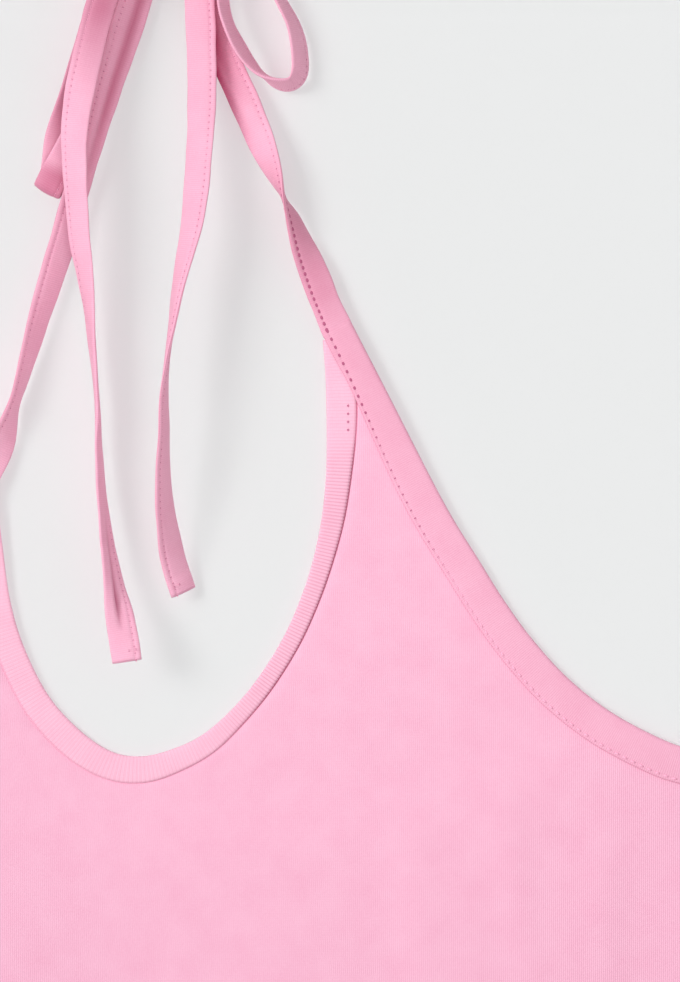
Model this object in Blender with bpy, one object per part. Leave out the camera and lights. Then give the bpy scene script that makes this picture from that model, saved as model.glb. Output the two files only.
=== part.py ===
"""A knitted halter top laid flat on its back: scooped front, low back, ribbed neck band, and armhole
bindings that run on as straps and tie in a bow above the neck.

Tables and sizes are in millimetres, with x to the wearer's left as seen from the front, y up the garment
from the underarm line and z up from the surface that the garment lies on. Meshes are made in metres.
"""

import math

import bmesh
import bpy
import numpy as np
from mathutils import Vector
from mathutils.geometry import delaunay_2d_cdt

MM = 0.001

# Driving sizes of the garment
HALF_CHEST = 202.0
HALF_HEM = 205.0
HEM_DROP = 310.0
CLOTH = 1.1
SEAM_GAP = 0.3
HEM_FOLD = 20.0
HEM_RISE = 0.5
HEM_STEP = 1.5
NECK_BAND_THICK = 1.9
NECK_CORNER = 0.35
NECK_COVERED = 32.0
NECK_THICKENS = 16.0
BINDING_WIDTH = 14.0
BINDING_AT_STRAP = 11.3
BINDING_TAPER = 70.0
BINDING_LIP = 1.3
BINDING_THICK = 1.0
BACK_BINDING_WIDTH = 11.0
STRAP_WIDTH = 10.8
STRAP_THICK = 1.7

# Spacing of the cloth's points
PANEL_STEP = 14.0
BACK_STEP = 20.0
EDGE_STEP = 6.5
RIBBON_STEP = 6.0
FOLDED_LOOP_STEP = 2.4

# How the front lies: on the back, then down onto the surface above the back's edge, then up to the straps
ON_SURFACE = 0.5
STEP_DOWN_START = 4.0
STEP_DOWN_LENGTH = 30.0
STRAP_LIFT = 2.5
LIFT_START = {"left": 20.0, "right": 45.0}
LIFT_END = {"left": 95.0, "right": 145.0}

# Free edge of the neck band, from under the left strap round to under the right strap: x, y, band width.
# The band rolls a little on the right, so that less of its width shows there.
NECK_EDGE = [
    (-59.0, 94.0, 9.4),
    (-56.6, 74.0, 9.6),
    (-53.8, 54.0, 9.6),
    (-48.8, 37.0, 9.6),
    (-40.0, 19.6, 9.9),
    (-28.8, 7.2, 10.2),
    (-17.5, -0.4, 9.8),
    (-6.8, -2.2, 9.4),
    (4.0, 0.2, 8.3),
    (15.1, 5.4, 7.3),
    (25.6, 14.4, 6.4),
    (35.3, 25.9, 6.2),
    (44.3, 40.3, 6.2),
    (50.6, 54.4, 6.4),
    (55.1, 68.4, 6.9),
    (58.3, 83.9, 7.9),
    (59.8, 99.7, 9.0),
    (60.0, 116.0, 10.6),
    (59.6, 134.0, 11.0),
    (58.6, 147.5, 10.8),
]

# Outer edge of each armhole binding: x, y. The right runs from the strap down to the underarm, and the left
# from the underarm up to the strap, so that the cloth lies on the right hand all the way.
ARMHOLE_RIGHT = [
    (68.4, 154.8),
    (83.2, 126.0),
    (97.9, 97.2),
    (105.8, 82.8),
    (114.8, 68.4),
    (123.8, 54.0),
    (134.3, 39.6),
    (147.6, 25.2),
    (163.5, 13.0),
    (182.5, 3.2),
    (194.0, 0.0),
    (HALF_CHEST, -0.8),
]
ARMHOLE_LEFT = [
    (-HALF_CHEST, -0.8),
    (-194.0, 0.4),
    (-181.0, 5.6),
    (-163.0, 17.6),
    (-144.0, 31.5),
    (-126.0, 44.5),
    (-110.0, 57.0),
    (-95.6, 68.5),
    (-83.0, 80.0),
    (-73.8, 91.0),
    (-67.2, 103.0),
]
PANEL_PEAK = {"left": 88.5, "right": 142.0}

# Top edge of the back, right half: x, y
BACK_EDGE = [
    (0.0, -46.0),
    (40.0, -45.0),
    (85.0, -38.5),
    (130.0, -24.0),
    (166.0, -8.5),
    (188.0, -2.0),
    (HALF_CHEST, -0.8),
]

# Soft folds of the front: start x, start y, end x, end y, height, half width
FRONT_FOLDS = [
    (104.0, -20.0, 124.0, -160.0, 1.0, 19.0),
    (146.0, -34.0, 148.0, -185.0, 1.3, 15.0),
    (182.0, -48.0, 176.0, -170.0, 0.9, 14.0),
    (38.0, -52.0, 52.0, -190.0, 0.8, 20.0),
    (-58.0, -48.0, -44.0, -175.0, 0.9, 20.0),
    (-150.0, -30.0, -118.0, -160.0, 1.1, 17.0),
    (66.0, -190.0, 80.0, -430.0, 1.4, 16.0),
    (-26.0, -215.0, -36.0, -405.0, 1.3, 15.0),
    (-128.0, -205.0, -122.0, -415.0, 1.2, 17.0),
    (150.0, -200.0, 142.0, -420.0, 1.3, 18.0),
]

# Free stretches of the two strips: x, y, z, turn, width. A turn of 0 lies flat, and a positive one lifts the
# edge on the right hand of someone who travels down the table.
STRAP_RIGHT = [
    (11.5, 303.4, 4.0, 0, STRAP_WIDTH),
    (12.6, 291.6, 3.6, 0, STRAP_WIDTH),
    (16.2, 270.0, 3.2, -4, STRAP_WIDTH),
    (23.0, 250.0, 3.6, -6, STRAP_WIDTH),
    (30.1, 234.0, 5.0, -8, STRAP_WIDTH),
    (36.2, 219.6, 6.2, -22, STRAP_WIDTH),
    (41.0, 207.5, 7.0, -58, STRAP_WIDTH),
    (44.8, 198.0, 7.0, -92, STRAP_WIDTH),
    (48.0, 190.6, 6.8, -118, STRAP_WIDTH),
    (52.0, 180.0, 6.2, -145, STRAP_WIDTH),
    (56.4, 169.0, 5.4, -172, STRAP_WIDTH),
    (59.3, 161.4, 4.9, -178, STRAP_WIDTH),
    (63.1, 152.9, 4.6, -180, BINDING_AT_STRAP),
]
STRAP_LEFT = [
    (-0.5, 303.4, 4.0, 0, STRAP_WIDTH),
    (-3.4, 290.0, 4.6, 10, 11.6),
    (-8.6, 270.0, 5.6, 20, 12.4),
    (-13.4, 254.5, 6.4, 24, 12.4),
    (-18.3, 239.0, 6.8, 32, 12.0),
    (-24.8, 217.0, 6.8, 40, STRAP_WIDTH),
    (-29.9, 200.5, 6.8, 36, STRAP_WIDTH),
    (-34.6, 183.6, 6.8, 32, STRAP_WIDTH),
    (-41.2, 162.0, 6.6, 42, STRAP_WIDTH),
    (-45.5, 147.6, 6.6, 55, STRAP_WIDTH),
    (-49.5, 133.2, 6.6, 68, STRAP_WIDTH),
    (-52.6, 123.0, 6.6, 70, STRAP_WIDTH),
    (-56.6, 110.8, 5.6, 34, STRAP_WIDTH),
    (-61.8, 100.9, 4.6, 0, BINDING_AT_STRAP),
]
TIE_RIGHT = [
    (12.5, 303.4, 12.4, 0, STRAP_WIDTH),
    (13.6, 290.0, 9.8, 0, STRAP_WIDTH),
    (14.4, 270.0, 8.2, 0, STRAP_WIDTH),
    (15.0, 255.0, 8.2, -5, STRAP_WIDTH),
    (15.3, 240.0, 9.8, -14, STRAP_WIDTH),
    (14.9, 221.0, 13.4, -26, STRAP_WIDTH),
    (13.1, 198.0, 18.0, -35, STRAP_WIDTH),
    (11.0, 183.6, 19.5, -48, STRAP_WIDTH),
    (7.7, 169.2, 20.5, -64, STRAP_WIDTH),
    (5.2, 154.8, 21.4, -76, STRAP_WIDTH),
    (3.2, 140.4, 21.6, -88, STRAP_WIDTH),
    (2.0, 126.0, 21.2, -103, STRAP_WIDTH),
    (1.8, 111.6, 19.5, -108, STRAP_WIDTH),
    (1.6, 97.2, 16.5, -118, STRAP_WIDTH),
    (2.5, 82.8, 12.5, -130, STRAP_WIDTH),
    (5.0, 68.4, 8.0, -146, STRAP_WIDTH),
    (8.6, 56.9, 5.2, -150, STRAP_WIDTH),
]
TIE_LEFT = [
    (-0.5, 303.4, 14.3, 0, STRAP_WIDTH),
    (-0.8, 299.5, 14.5, 0, STRAP_WIDTH),
    (-3.6, 293.0, 15.2, 4, STRAP_WIDTH),
    (-9.4, 284.8, 16.2, 10, STRAP_WIDTH),
    (-15.4, 277.6, 16.8, 14, STRAP_WIDTH),
    (-19.8, 269.6, 17.0, 16, STRAP_WIDTH),
    (-23.6, 256.3, 17.0, 8, STRAP_WIDTH),
    (-28.3, 235.8, 17.0, -10, STRAP_WIDTH),
    (-30.1, 221.0, 17.5, -26, STRAP_WIDTH),
    (-29.9, 204.5, 18.0, -38, STRAP_WIDTH),
    (-28.4, 184.7, 16.5, -44, STRAP_WIDTH),
    (-26.3, 169.2, 14.0, -58, STRAP_WIDTH),
    (-24.8, 155.0, 12.0, -72, STRAP_WIDTH),
    (-22.3, 126.0, 10.5, -88, STRAP_WIDTH),
    (-21.6, 108.0, 10.0, -98, STRAP_WIDTH),
    (-20.5, 90.0, 10.0, -104, STRAP_WIDTH),
    (-18.7, 75.6, 11.0, -112, STRAP_WIDTH),
    (-16.2, 61.2, 13.2, -128, STRAP_WIDTH),
    (-13.9, 48.0, 16.8, -158, STRAP_WIDTH),
    (-12.4, 40.0, 18.8, -174, STRAP_WIDTH),
    (-11.2, 32.4, 20.0, -178, STRAP_WIDTH),
]
LOOP_RIGHT = [
    (20.0, 308.0, 7.2, 90, STRAP_WIDTH),
    (22.8, 306.6, 7.4, 90, STRAP_WIDTH),
    (24.2, 301.0, 8.0, 84, STRAP_WIDTH),
    (22.4, 285.0, 9.8, 75, STRAP_WIDTH),
    (22.8, 270.0, 10.8, 70, STRAP_WIDTH),
    (24.8, 260.3, 10.8, 70, STRAP_WIDTH),
    (29.3, 251.8, 10.2, 65, STRAP_WIDTH),
    (35.2, 244.2, 8.8, 76, STRAP_WIDTH),
    (41.4, 240.0, 7.6, 102, STRAP_WIDTH),
    (47.0, 239.4, 6.6, 114, STRAP_WIDTH),
    (50.4, 243.4, 6.2, 122, STRAP_WIDTH),
    (50.2, 251.6, 6.2, 122, STRAP_WIDTH),
    (47.9, 261.0, 6.2, 115, STRAP_WIDTH),
    (43.2, 270.0, 6.4, 110, STRAP_WIDTH),
    (36.7, 284.0, 6.8, 102, STRAP_WIDTH),
    (30.6, 300.0, 7.0, 95, STRAP_WIDTH),
    (26.6, 312.2, 7.2, 90, STRAP_WIDTH),
    (20.0, 314.0, 7.2, 90, STRAP_WIDTH),
]
LOOP_LEFT = [
    (-5.4, 314.5, 7.2, 90, STRAP_WIDTH),
    (-11.0, 311.5, 7.2, 85, STRAP_WIDTH),
    (-16.0, 296.0, 7.0, 75, STRAP_WIDTH),
    (-21.8, 275.0, 6.8, 65, STRAP_WIDTH),
    (-26.6, 255.6, 6.4, 58, STRAP_WIDTH),
    (-31.4, 238.0, 5.6, 48, STRAP_WIDTH),
    (-35.8, 222.0, 4.1, 28, STRAP_WIDTH),
    (-37.6, 208.0, 2.4, 8, STRAP_WIDTH),
    (-39.2, 203.4, 1.9, 0, STRAP_WIDTH),
    (-40.1, 201.7, 2.7, 0, STRAP_WIDTH),
    (-40.5, 201.0, 4.6, 0, STRAP_WIDTH),
    (-40.1, 201.7, 6.5, 0, STRAP_WIDTH),
    (-39.2, 203.4, 7.2, 0, STRAP_WIDTH),
    (-37.3, 207.0, 7.0, -4, STRAP_WIDTH),
    (-34.4, 212.4, 6.4, -14, STRAP_WIDTH),
    (-30.8, 220.0, 6.4, -30, STRAP_WIDTH),
    (-27.6, 228.0, 6.5, -38, STRAP_WIDTH),
    (-25.4, 235.5, 6.5, -42, STRAP_WIDTH),
    (-23.6, 242.0, 6.4, -46, STRAP_WIDTH),
    (-21.4, 254.0, 6.6, -60, STRAP_WIDTH),
    (-19.0, 266.0, 6.8, -72, STRAP_WIDTH),
    (-16.0, 278.0, 7.0, -82, STRAP_WIDTH),
    (-12.8, 290.0, 7.0, -88, STRAP_WIDTH),
    (-10.4, 301.0, 7.2, -90, STRAP_WIDTH),
    (-5.4, 306.5, 7.2, -90, STRAP_WIDTH),
]

# The knot that the strips are wrapped into
KNOT_CENTRE = (7.2, 313.2, 9.3)
KNOT_SIZE = (24.0, 18.8, 16.4)
KNOT_ROUND = 3.4

# Colours, as sRGB values out of 255
JERSEY_PINK = (252, 190, 215)
RIB_PINK = (250, 189, 214)
BINDING_PINK = (252, 180, 208)


def smoothstep(value):
    """0 below 0, 1 above 1, and an S between."""
    value = np.clip(value, 0.0, 1.0)
    return value * value * (3.0 - 2.0 * value)


def smooth_path(rows, step, place_columns):
    """The rows of a table joined by one smooth curve, in even steps; the first columns are the place."""
    table = np.array(rows, float)
    table = np.vstack([2 * table[0] - table[1], table, 2 * table[-1] - table[-2]])
    fine = []
    for first in range(len(table) - 3):
        a, b, c, d = table[first : first + 4]
        for t in np.linspace(0.0, 1.0, 16, endpoint=False):
            bend = (2 * a - 5 * b + 4 * c - d) * t * t + (3 * b - a - 3 * c + d) * t**3
            fine.append(b + 0.5 * ((c - a) * t + bend))
    fine.append(table[-2])
    fine = np.array(fine)
    lengths = np.linalg.norm(np.diff(fine[:, :place_columns], axis=0), axis=1)
    along = np.concatenate([[0.0], np.cumsum(lengths)])
    even = np.linspace(0.0, along[-1], max(3, round(along[-1] / step)) + 1)
    return np.column_stack([np.interp(even, along, column) for column in fine.T])


def moved_right(path, distance):
    """A flat path moved to the right hand of someone who travels along it."""
    ahead = np.gradient(path[:, :2], axis=0)
    ahead /= np.linalg.norm(ahead, axis=1)[:, None]
    moved_x = within_sides(path[:, 0] + distance * ahead[:, 1])
    return np.column_stack([moved_x, path[:, 1] - distance * ahead[:, 0]])


def within_sides(x):
    """Nothing along an edge passes the side seams."""
    return np.clip(x, -HALF_CHEST, HALF_CHEST)


def back_edge_height(x):
    """How far up the back reaches at x."""
    across, up = np.array(BACK_EDGE).T
    return np.interp(np.abs(x), across, up)


def fold_height(x, y):
    """How far the folds lift the front."""
    lift = 0.0
    for start_x, start_y, end_x, end_y, height, half_width in FRONT_FOLDS:
        run = math.hypot(end_x - start_x, end_y - start_y)
        ahead_x, ahead_y = (end_x - start_x) / run, (end_y - start_y) / run
        along = ((x - start_x) * ahead_x + (y - start_y) * ahead_y) / run
        aside = (x - start_x) * ahead_y - (y - start_y) * ahead_x
        lift = lift + height * np.sin(np.pi * np.clip(along, 0.0, 1.0)) * np.exp(-((aside / half_width) ** 2))
    return lift


def front_under(x, y):
    """Height of the front's underside."""
    on_back = CLOTH + SEAM_GAP
    past_back = smoothstep((y - back_edge_height(x) - STEP_DOWN_START) / STEP_DOWN_LENGTH)
    side_start = np.where(x < 0, LIFT_START["left"], LIFT_START["right"])
    side_end = np.where(x < 0, LIFT_END["left"], LIFT_END["right"])
    lift = STRAP_LIFT * smoothstep((y - side_start) / (side_end - side_start))
    return on_back + (ON_SURFACE - on_back) * past_back + lift + fold_height(x, y)


def front_over(x, y):
    """Height of the front's outer face, a little proud where the hem is folded."""
    hem = smoothstep((HEM_FOLD - HEM_DROP - y) / HEM_STEP + 1.0)
    return front_under(x, y) + CLOTH + HEM_RISE * hem


def on_surface(x, y):
    """Height of the surface below, for what lies flat on it."""
    return np.zeros(np.shape(x))


def back_inner(x, y):
    """Height of the back's inner face."""
    return np.full(np.shape(x), CLOTH)


def linear(colour):
    """An sRGB colour as Blender's linear values."""
    values = [channel / 255 for channel in colour]
    return [v / 12.92 if v <= 0.04045 else ((v + 0.055) / 1.055) ** 2.4 for v in values] + [1.0]


def cloth_material(name, colour, roughness):
    material = bpy.data.materials.new(name)
    material.use_nodes = True
    shader = material.node_tree.nodes["Principled BSDF"]
    shader.inputs["Base Color"].default_value = linear(colour)
    shader.inputs["Roughness"].default_value = roughness
    shader.inputs["Metallic"].default_value = 0.0
    return material


def add_piece(name, points, faces, material):
    """A named object from points in millimetres, with its faces turned outwards."""
    mesh = bpy.data.meshes.new(name)
    mesh.from_pydata([Vector(point) * MM for point in points], [], faces)
    shaped = bmesh.new()
    shaped.from_mesh(mesh)
    bmesh.ops.recalc_face_normals(shaped, faces=shaped.faces)
    shaped.to_mesh(mesh)
    shaped.free()
    mesh.materials.append(material)
    mesh.shade_smooth()
    mesh.set_sharp_from_angle(angle=math.radians(50))
    piece = bpy.data.objects.new(name, mesh)
    garment.objects.link(piece)
    return piece


def distance_inside(points, outline):
    """How far each point is inside a closed outline; negative outside it."""
    starts, ends = outline, np.roll(outline, -1, axis=0)
    across = ends - starts
    to_start = points[:, None, :] - starts[None]
    share = np.clip((to_start * across).sum(2) / (across**2).sum(1), 0.0, 1.0)
    nearest = np.linalg.norm(to_start - share[:, :, None] * across, axis=2).min(axis=1)
    px, py = points[:, 0:1], points[:, 1:2]
    spans = (starts[:, 1] > py) != (ends[:, 1] > py)
    rise = np.where(across[:, 1] == 0, 1.0, across[:, 1])
    left_of = px < starts[:, 0] + (py - starts[:, 1]) * across[:, 0] / rise
    inside = (spans & left_of).sum(axis=1) % 2 == 1
    return np.where(inside, nearest, -nearest)


def cloth_panel(name, outline, step, rows_at, under, over, material):
    """A flat-cut piece of cloth: its outline filled with points, then lifted to its two faces."""
    low, high = outline.min(axis=0), outline.max(axis=0)
    across = np.arange(low[0] + step / 2, high[0], step)
    up = np.concatenate([np.arange(low[1] + step / 2, high[1], step), rows_at])
    grid = np.array([(x, y) for y in up for x in across])
    near_row = np.array([any(0 < abs(y - row) < step / 3 for row in rows_at) for _, y in grid])
    grid = grid[~near_row & (distance_inside(grid, outline) > 0.4 * EDGE_STEP)]
    flat = [Vector(point) for point in np.vstack([outline, grid])]
    rim = [(i, (i + 1) % len(outline)) for i in range(len(outline))]
    flat, _, triangles, *_ = delaunay_2d_cdt(flat, rim, [], 1, 1e-6)
    flat = np.array([tuple(point) for point in flat])
    top = np.column_stack([flat, over(flat[:, 0], flat[:, 1])])
    bottom = np.column_stack([flat, under(flat[:, 0], flat[:, 1])])
    count = len(flat)
    directed = {(t[i], t[(i + 1) % 3]) for t in triangles for i in range(3)}
    walls = [(a + count, b + count, b, a) for a, b in directed if (b, a) not in directed]
    faces = [tuple(t) for t in triangles] + [tuple(i + count for i in reversed(t)) for t in triangles]
    return add_piece(name, np.vstack([top, bottom]), faces + walls, material)


def loft(name, rings, material):
    """A closed solid through rings of points, capped at both ends."""
    size = len(rings[0])
    faces = [tuple(range(size)), tuple(range((len(rings) - 1) * size, len(rings) * size))]
    for ring in range(len(rings) - 1):
        for i in range(size):
            here, after = ring * size + i, ring * size + (i + 1) % size
            faces.append((here, after, after + size, here + size))
    return add_piece(name, np.vstack(rings), faces, material)


def edge_strip(name, edge, sections, base, material):
    """A strip along an edge: one section of (inward, height) corners for each point of the edge."""
    corners = np.array(sections)
    flat = [moved_right(edge, corners[:, i, 0]) for i in range(corners.shape[1])]
    heights = [corners[:, i, 1] + base(*place.T) for i, place in enumerate(flat)]
    rings = np.stack([np.column_stack(pair) for pair in zip(flat, heights)], axis=1)
    return loft(name, list(rings), material)


def ribbon(name, rows, material, step=RIBBON_STEP):
    """A free stretch of strip that follows its table; its frame stays the same way round where it folds over."""
    path = smooth_path(rows, step, 3)
    places, turns, widths = path[:, :3], np.radians(path[:, 3]), path[:, 4]
    ahead = np.gradient(places, axis=0)
    ahead /= np.linalg.norm(ahead, axis=1)[:, None]
    rings = []
    last_side = np.cross(ahead[0], (0.0, 0.0, 1.0))
    for place, forward, turn, width in zip(places, ahead, turns, widths):
        side = np.cross(forward, (0.0, 0.0, 1.0))
        side *= math.copysign(1.0, side @ last_side) / np.linalg.norm(side)
        last_side = side
        up = np.cross(side, forward)
        across = side * math.cos(turn) + up * math.sin(turn)
        out = up * math.cos(turn) - side * math.sin(turn)
        half, deep, corner = width / 2, STRAP_THICK / 2, STRAP_THICK / 4
        section = [
            (-half, -deep + corner),
            (-half + corner, -deep),
            (half - corner, -deep),
            (half, -deep + corner),
            (half, deep - corner),
            (half - corner, deep),
            (-half + corner, deep),
            (-half, deep - corner),
        ]
        rings.append(np.array([place + across * u + out * v for u, v in section]))
    return loft(name, rings, material)


def armhole_sections(edge, strap_end):
    """Lip over the raw edge, then the strip lying on the front; it narrows towards the strap."""
    over_cloth = CLOTH + SEAM_GAP
    top = over_cloth + BINDING_THICK
    sections = []
    for place in edge:
        from_strap = np.linalg.norm(place - strap_end)
        grown = smoothstep(from_strap / BINDING_TAPER)
        wide = BINDING_AT_STRAP + (BINDING_WIDTH - BINDING_AT_STRAP) * grown
        sections.append([
            (0.5, 0.0),
            (0.0, 0.5),
            (0.0, top - 0.6),
            (0.6, top),
            (wide / 2, top),
            (wide - 0.5, top),
            (wide, top - 0.4),
            (wide, over_cloth),
            (wide / 2, over_cloth),
            (BINDING_LIP, over_cloth),
            (BINDING_LIP, 0.0),
        ])
    return sections


def neck_sections(edge):
    """Folded rib, thinner at both ends where the armhole bindings cover it."""
    steps = np.arange(len(edge))
    from_end = np.minimum(steps, steps[::-1]) * EDGE_STEP
    sections = []
    for wide, distance in zip(edge[:, 2], from_end):
        grown = smoothstep((distance - NECK_COVERED) / NECK_THICKENS)
        thick = CLOTH + (NECK_BAND_THICK - CLOTH) * grown
        sections.append([
            (0.0, NECK_CORNER),
            (0.0, thick - NECK_CORNER),
            (NECK_CORNER, thick),
            (wide - NECK_CORNER, thick),
            (wide, thick - NECK_CORNER),
            (wide, NECK_CORNER),
            (wide - NECK_CORNER, 0.0),
            (NECK_CORNER, 0.0),
        ])
    return sections


def back_edge_sections(edge):
    """Strip set edge to edge with the back, flat on the surface below."""
    wide, corner = BACK_BINDING_WIDTH, 0.3
    outline = [
        (0.0, 0.0),
        (0.0, CLOTH - corner),
        (corner, CLOTH),
        (wide - corner, CLOTH),
        (wide, CLOTH - corner),
        (wide, 0.0),
    ]
    return [outline] * len(edge)


def side_seam(side, top, step):
    """Points down one side of the body, without its ends."""
    drop = np.arange(top - step, step / 2 - HEM_DROP, -step)
    half = HALF_CHEST + (HALF_HEM - HALF_CHEST) * (-drop / HEM_DROP)
    return np.column_stack([side * half, drop])


def hem_line(step):
    """Points along the hem from left to right."""
    across = np.linspace(-HALF_HEM, HALF_HEM, round(2 * HALF_HEM / step) + 1)
    return np.column_stack([across, np.full(len(across), -HEM_DROP)])


def front_outline():
    right = moved_right(smooth_path(ARMHOLE_RIGHT, EDGE_STEP, 2), BINDING_LIP + SEAM_GAP)
    left = moved_right(smooth_path(ARMHOLE_LEFT, EDGE_STEP, 2), BINDING_LIP + SEAM_GAP)
    neck = smooth_path(NECK_EDGE, EDGE_STEP, 2)
    neck = moved_right(neck, neck[:, 2] + SEAM_GAP)
    right = right[right[:, 1] < PANEL_PEAK["right"]]
    left = left[left[:, 1] < PANEL_PEAK["left"]]
    peak = np.where(neck[:, 0] < 0, PANEL_PEAK["left"], PANEL_PEAK["right"])
    neck = neck[neck[:, 1] < peak]
    sides = side_seam(1, right[-1, 1], PANEL_STEP)
    other = side_seam(-1, left[0, 1], PANEL_STEP)
    return np.vstack([hem_line(PANEL_STEP), sides[::-1], right[::-1], neck[::-1], left[::-1], other])


def back_edge_line(step):
    left = [(-x, y) for x, y in reversed(BACK_EDGE[1:])]
    return smooth_path(left + BACK_EDGE, step, 2)


def back_outline():
    top = moved_right(back_edge_line(BACK_STEP), BACK_BINDING_WIDTH + SEAM_GAP)
    sides = side_seam(1, top[-1, 1], BACK_STEP)
    other = side_seam(-1, top[0, 1], BACK_STEP)
    return np.vstack([hem_line(BACK_STEP), sides[::-1], top[::-1], other])


def knot(name, material):
    """The wrapped knot: a soft block with its edges rounded."""
    shaped = bmesh.new()
    bmesh.ops.create_cube(shaped, size=1.0)
    bmesh.ops.scale(shaped, vec=Vector(KNOT_SIZE) * MM, verts=shaped.verts)
    bmesh.ops.bevel(
        shaped, geom=shaped.edges[:], offset=KNOT_ROUND * MM, segments=3, profile=0.5, affect="EDGES"
    )
    bmesh.ops.translate(shaped, vec=Vector(KNOT_CENTRE) * MM, verts=shaped.verts)
    mesh = bpy.data.meshes.new(name)
    shaped.to_mesh(mesh)
    shaped.free()
    mesh.materials.append(material)
    mesh.shade_smooth()
    piece = bpy.data.objects.new(name, mesh)
    garment.objects.link(piece)
    return piece


def stand_on_origin(pieces):
    """Moves the garment so that the middle of its box, on the surface, is the origin."""
    places = np.array([tuple(vertex.co) for piece in pieces for vertex in piece.data.vertices])
    low, high = places.min(axis=0), places.max(axis=0)
    shift = Vector((-(low[0] + high[0]) / 2, -(low[1] + high[1]) / 2, -low[2]))
    for piece in pieces:
        for vertex in piece.data.vertices:
            vertex.co += shift


for old in list(bpy.data.objects):
    bpy.data.objects.remove(old)
garment = bpy.data.collections.new("knitted_halter_top")
bpy.context.scene.collection.children.link(garment)

jersey = cloth_material("jersey", JERSEY_PINK, 0.85)
rib = cloth_material("fine_rib", RIB_PINK, 0.85)
strip = cloth_material("folded_strip", BINDING_PINK, 0.82)

hem_rows = [HEM_FOLD - HEM_DROP, HEM_FOLD - HEM_DROP + HEM_STEP]
neck_edge = smooth_path(NECK_EDGE, EDGE_STEP, 2)
right_edge = smooth_path(ARMHOLE_RIGHT, EDGE_STEP, 2)
left_edge = smooth_path(ARMHOLE_LEFT, EDGE_STEP, 2)
back_edge = back_edge_line(BACK_STEP / 2)

cloth_panel("front_panel", front_outline(), PANEL_STEP, hem_rows, front_under, front_over, jersey)
cloth_panel("back_panel", back_outline(), BACK_STEP, [], on_surface, back_inner, jersey)
edge_strip("neck_band", neck_edge, neck_sections(neck_edge), front_under, rib)
edge_strip("armhole_binding_right", right_edge, armhole_sections(right_edge, right_edge[0]), front_under, strip)
edge_strip("armhole_binding_left", left_edge, armhole_sections(left_edge, left_edge[-1]), front_under, strip)
edge_strip("back_edge_binding", back_edge, back_edge_sections(back_edge), on_surface, strip)
ribbon("strap_right", STRAP_RIGHT, strip)
ribbon("strap_left", STRAP_LEFT, strip)
ribbon("tie_end_right", TIE_RIGHT, strip)
ribbon("tie_end_left", TIE_LEFT, strip)
ribbon("bow_loop_right", LOOP_RIGHT, strip)
ribbon("bow_loop_left", LOOP_LEFT, strip, FOLDED_LOOP_STEP)
knot("bow_knot", strip)
stand_on_origin(list(garment.objects))
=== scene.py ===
import math

import bmesh
import bpy
import numpy as np
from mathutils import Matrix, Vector
from mathutils.geometry import delaunay_2d_cdt


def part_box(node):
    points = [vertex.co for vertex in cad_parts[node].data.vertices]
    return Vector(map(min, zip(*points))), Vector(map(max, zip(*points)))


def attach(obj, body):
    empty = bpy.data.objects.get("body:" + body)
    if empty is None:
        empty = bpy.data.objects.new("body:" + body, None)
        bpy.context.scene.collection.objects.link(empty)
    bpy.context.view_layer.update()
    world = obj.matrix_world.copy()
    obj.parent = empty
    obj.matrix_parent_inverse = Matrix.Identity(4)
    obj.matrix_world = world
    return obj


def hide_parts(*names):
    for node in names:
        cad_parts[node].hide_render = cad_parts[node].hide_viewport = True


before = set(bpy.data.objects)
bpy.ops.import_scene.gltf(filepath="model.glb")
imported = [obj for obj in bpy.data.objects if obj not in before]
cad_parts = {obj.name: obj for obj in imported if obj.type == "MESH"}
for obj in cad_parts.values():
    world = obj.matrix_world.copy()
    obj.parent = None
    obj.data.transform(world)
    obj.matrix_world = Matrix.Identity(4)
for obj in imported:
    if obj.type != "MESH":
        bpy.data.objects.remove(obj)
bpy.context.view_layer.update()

# The view. The top lies on a white sweep and is seen from straight above, so close that the bow, the hem and
# the left side are out of the frame. A soft key light stands low on the left, with even fill, and the sweep
# has a light of its own, so that only faint shadows show on it.
MM = 0.001
UNDERARM_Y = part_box("front_panel")[0].y / MM + 310.0
FRAME_CENTRE = (64.8, 93.24)
FRAME_HEIGHT = 353.5
LENS = 240.0
SENSOR = 36.0
camera_data = bpy.data.cameras.new("camera")
camera_data.lens = LENS
camera_data.sensor_width = SENSOR
camera = bpy.data.objects.new("camera", camera_data)
camera.location = (
    FRAME_CENTRE[0] * MM,
    (FRAME_CENTRE[1] + UNDERARM_Y) * MM,
    FRAME_HEIGHT * MM * LENS / SENSOR,
)
bpy.context.scene.collection.objects.link(camera)
bpy.context.scene.camera = camera
bpy.context.scene.view_settings.view_transform = "Standard"

sweep_mesh = bpy.data.meshes.new("sweep")
SWEEP_Z = -0.0002
corners = [(-5, -5, SWEEP_Z), (5, -5, SWEEP_Z), (5, 5, SWEEP_Z), (-5, 5, SWEEP_Z)]
sweep_mesh.from_pydata(corners, [], [(0, 1, 2, 3)])
sweep = bpy.data.objects.new("sweep", sweep_mesh)
bpy.context.scene.collection.objects.link(sweep)
paper = bpy.data.materials.new("white_paper")
paper.use_nodes = True
paper.node_tree.nodes["Principled BSDF"].inputs["Base Color"].default_value = (0.70, 0.70, 0.70, 1)
paper.node_tree.nodes["Principled BSDF"].inputs["Roughness"].default_value = 0.9
paper.node_tree.nodes["Principled BSDF"].inputs["Specular IOR Level"].default_value = 0.0
sweep_mesh.materials.append(paper)

KEY_DIRECTION = Vector((1.0, -0.3, -1.0))
DOWNWARD = Vector((0.0, 0.0, -1.0))
LAMP_HEIGHT = 0.5
LAMP_SIZE = 0.5


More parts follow.
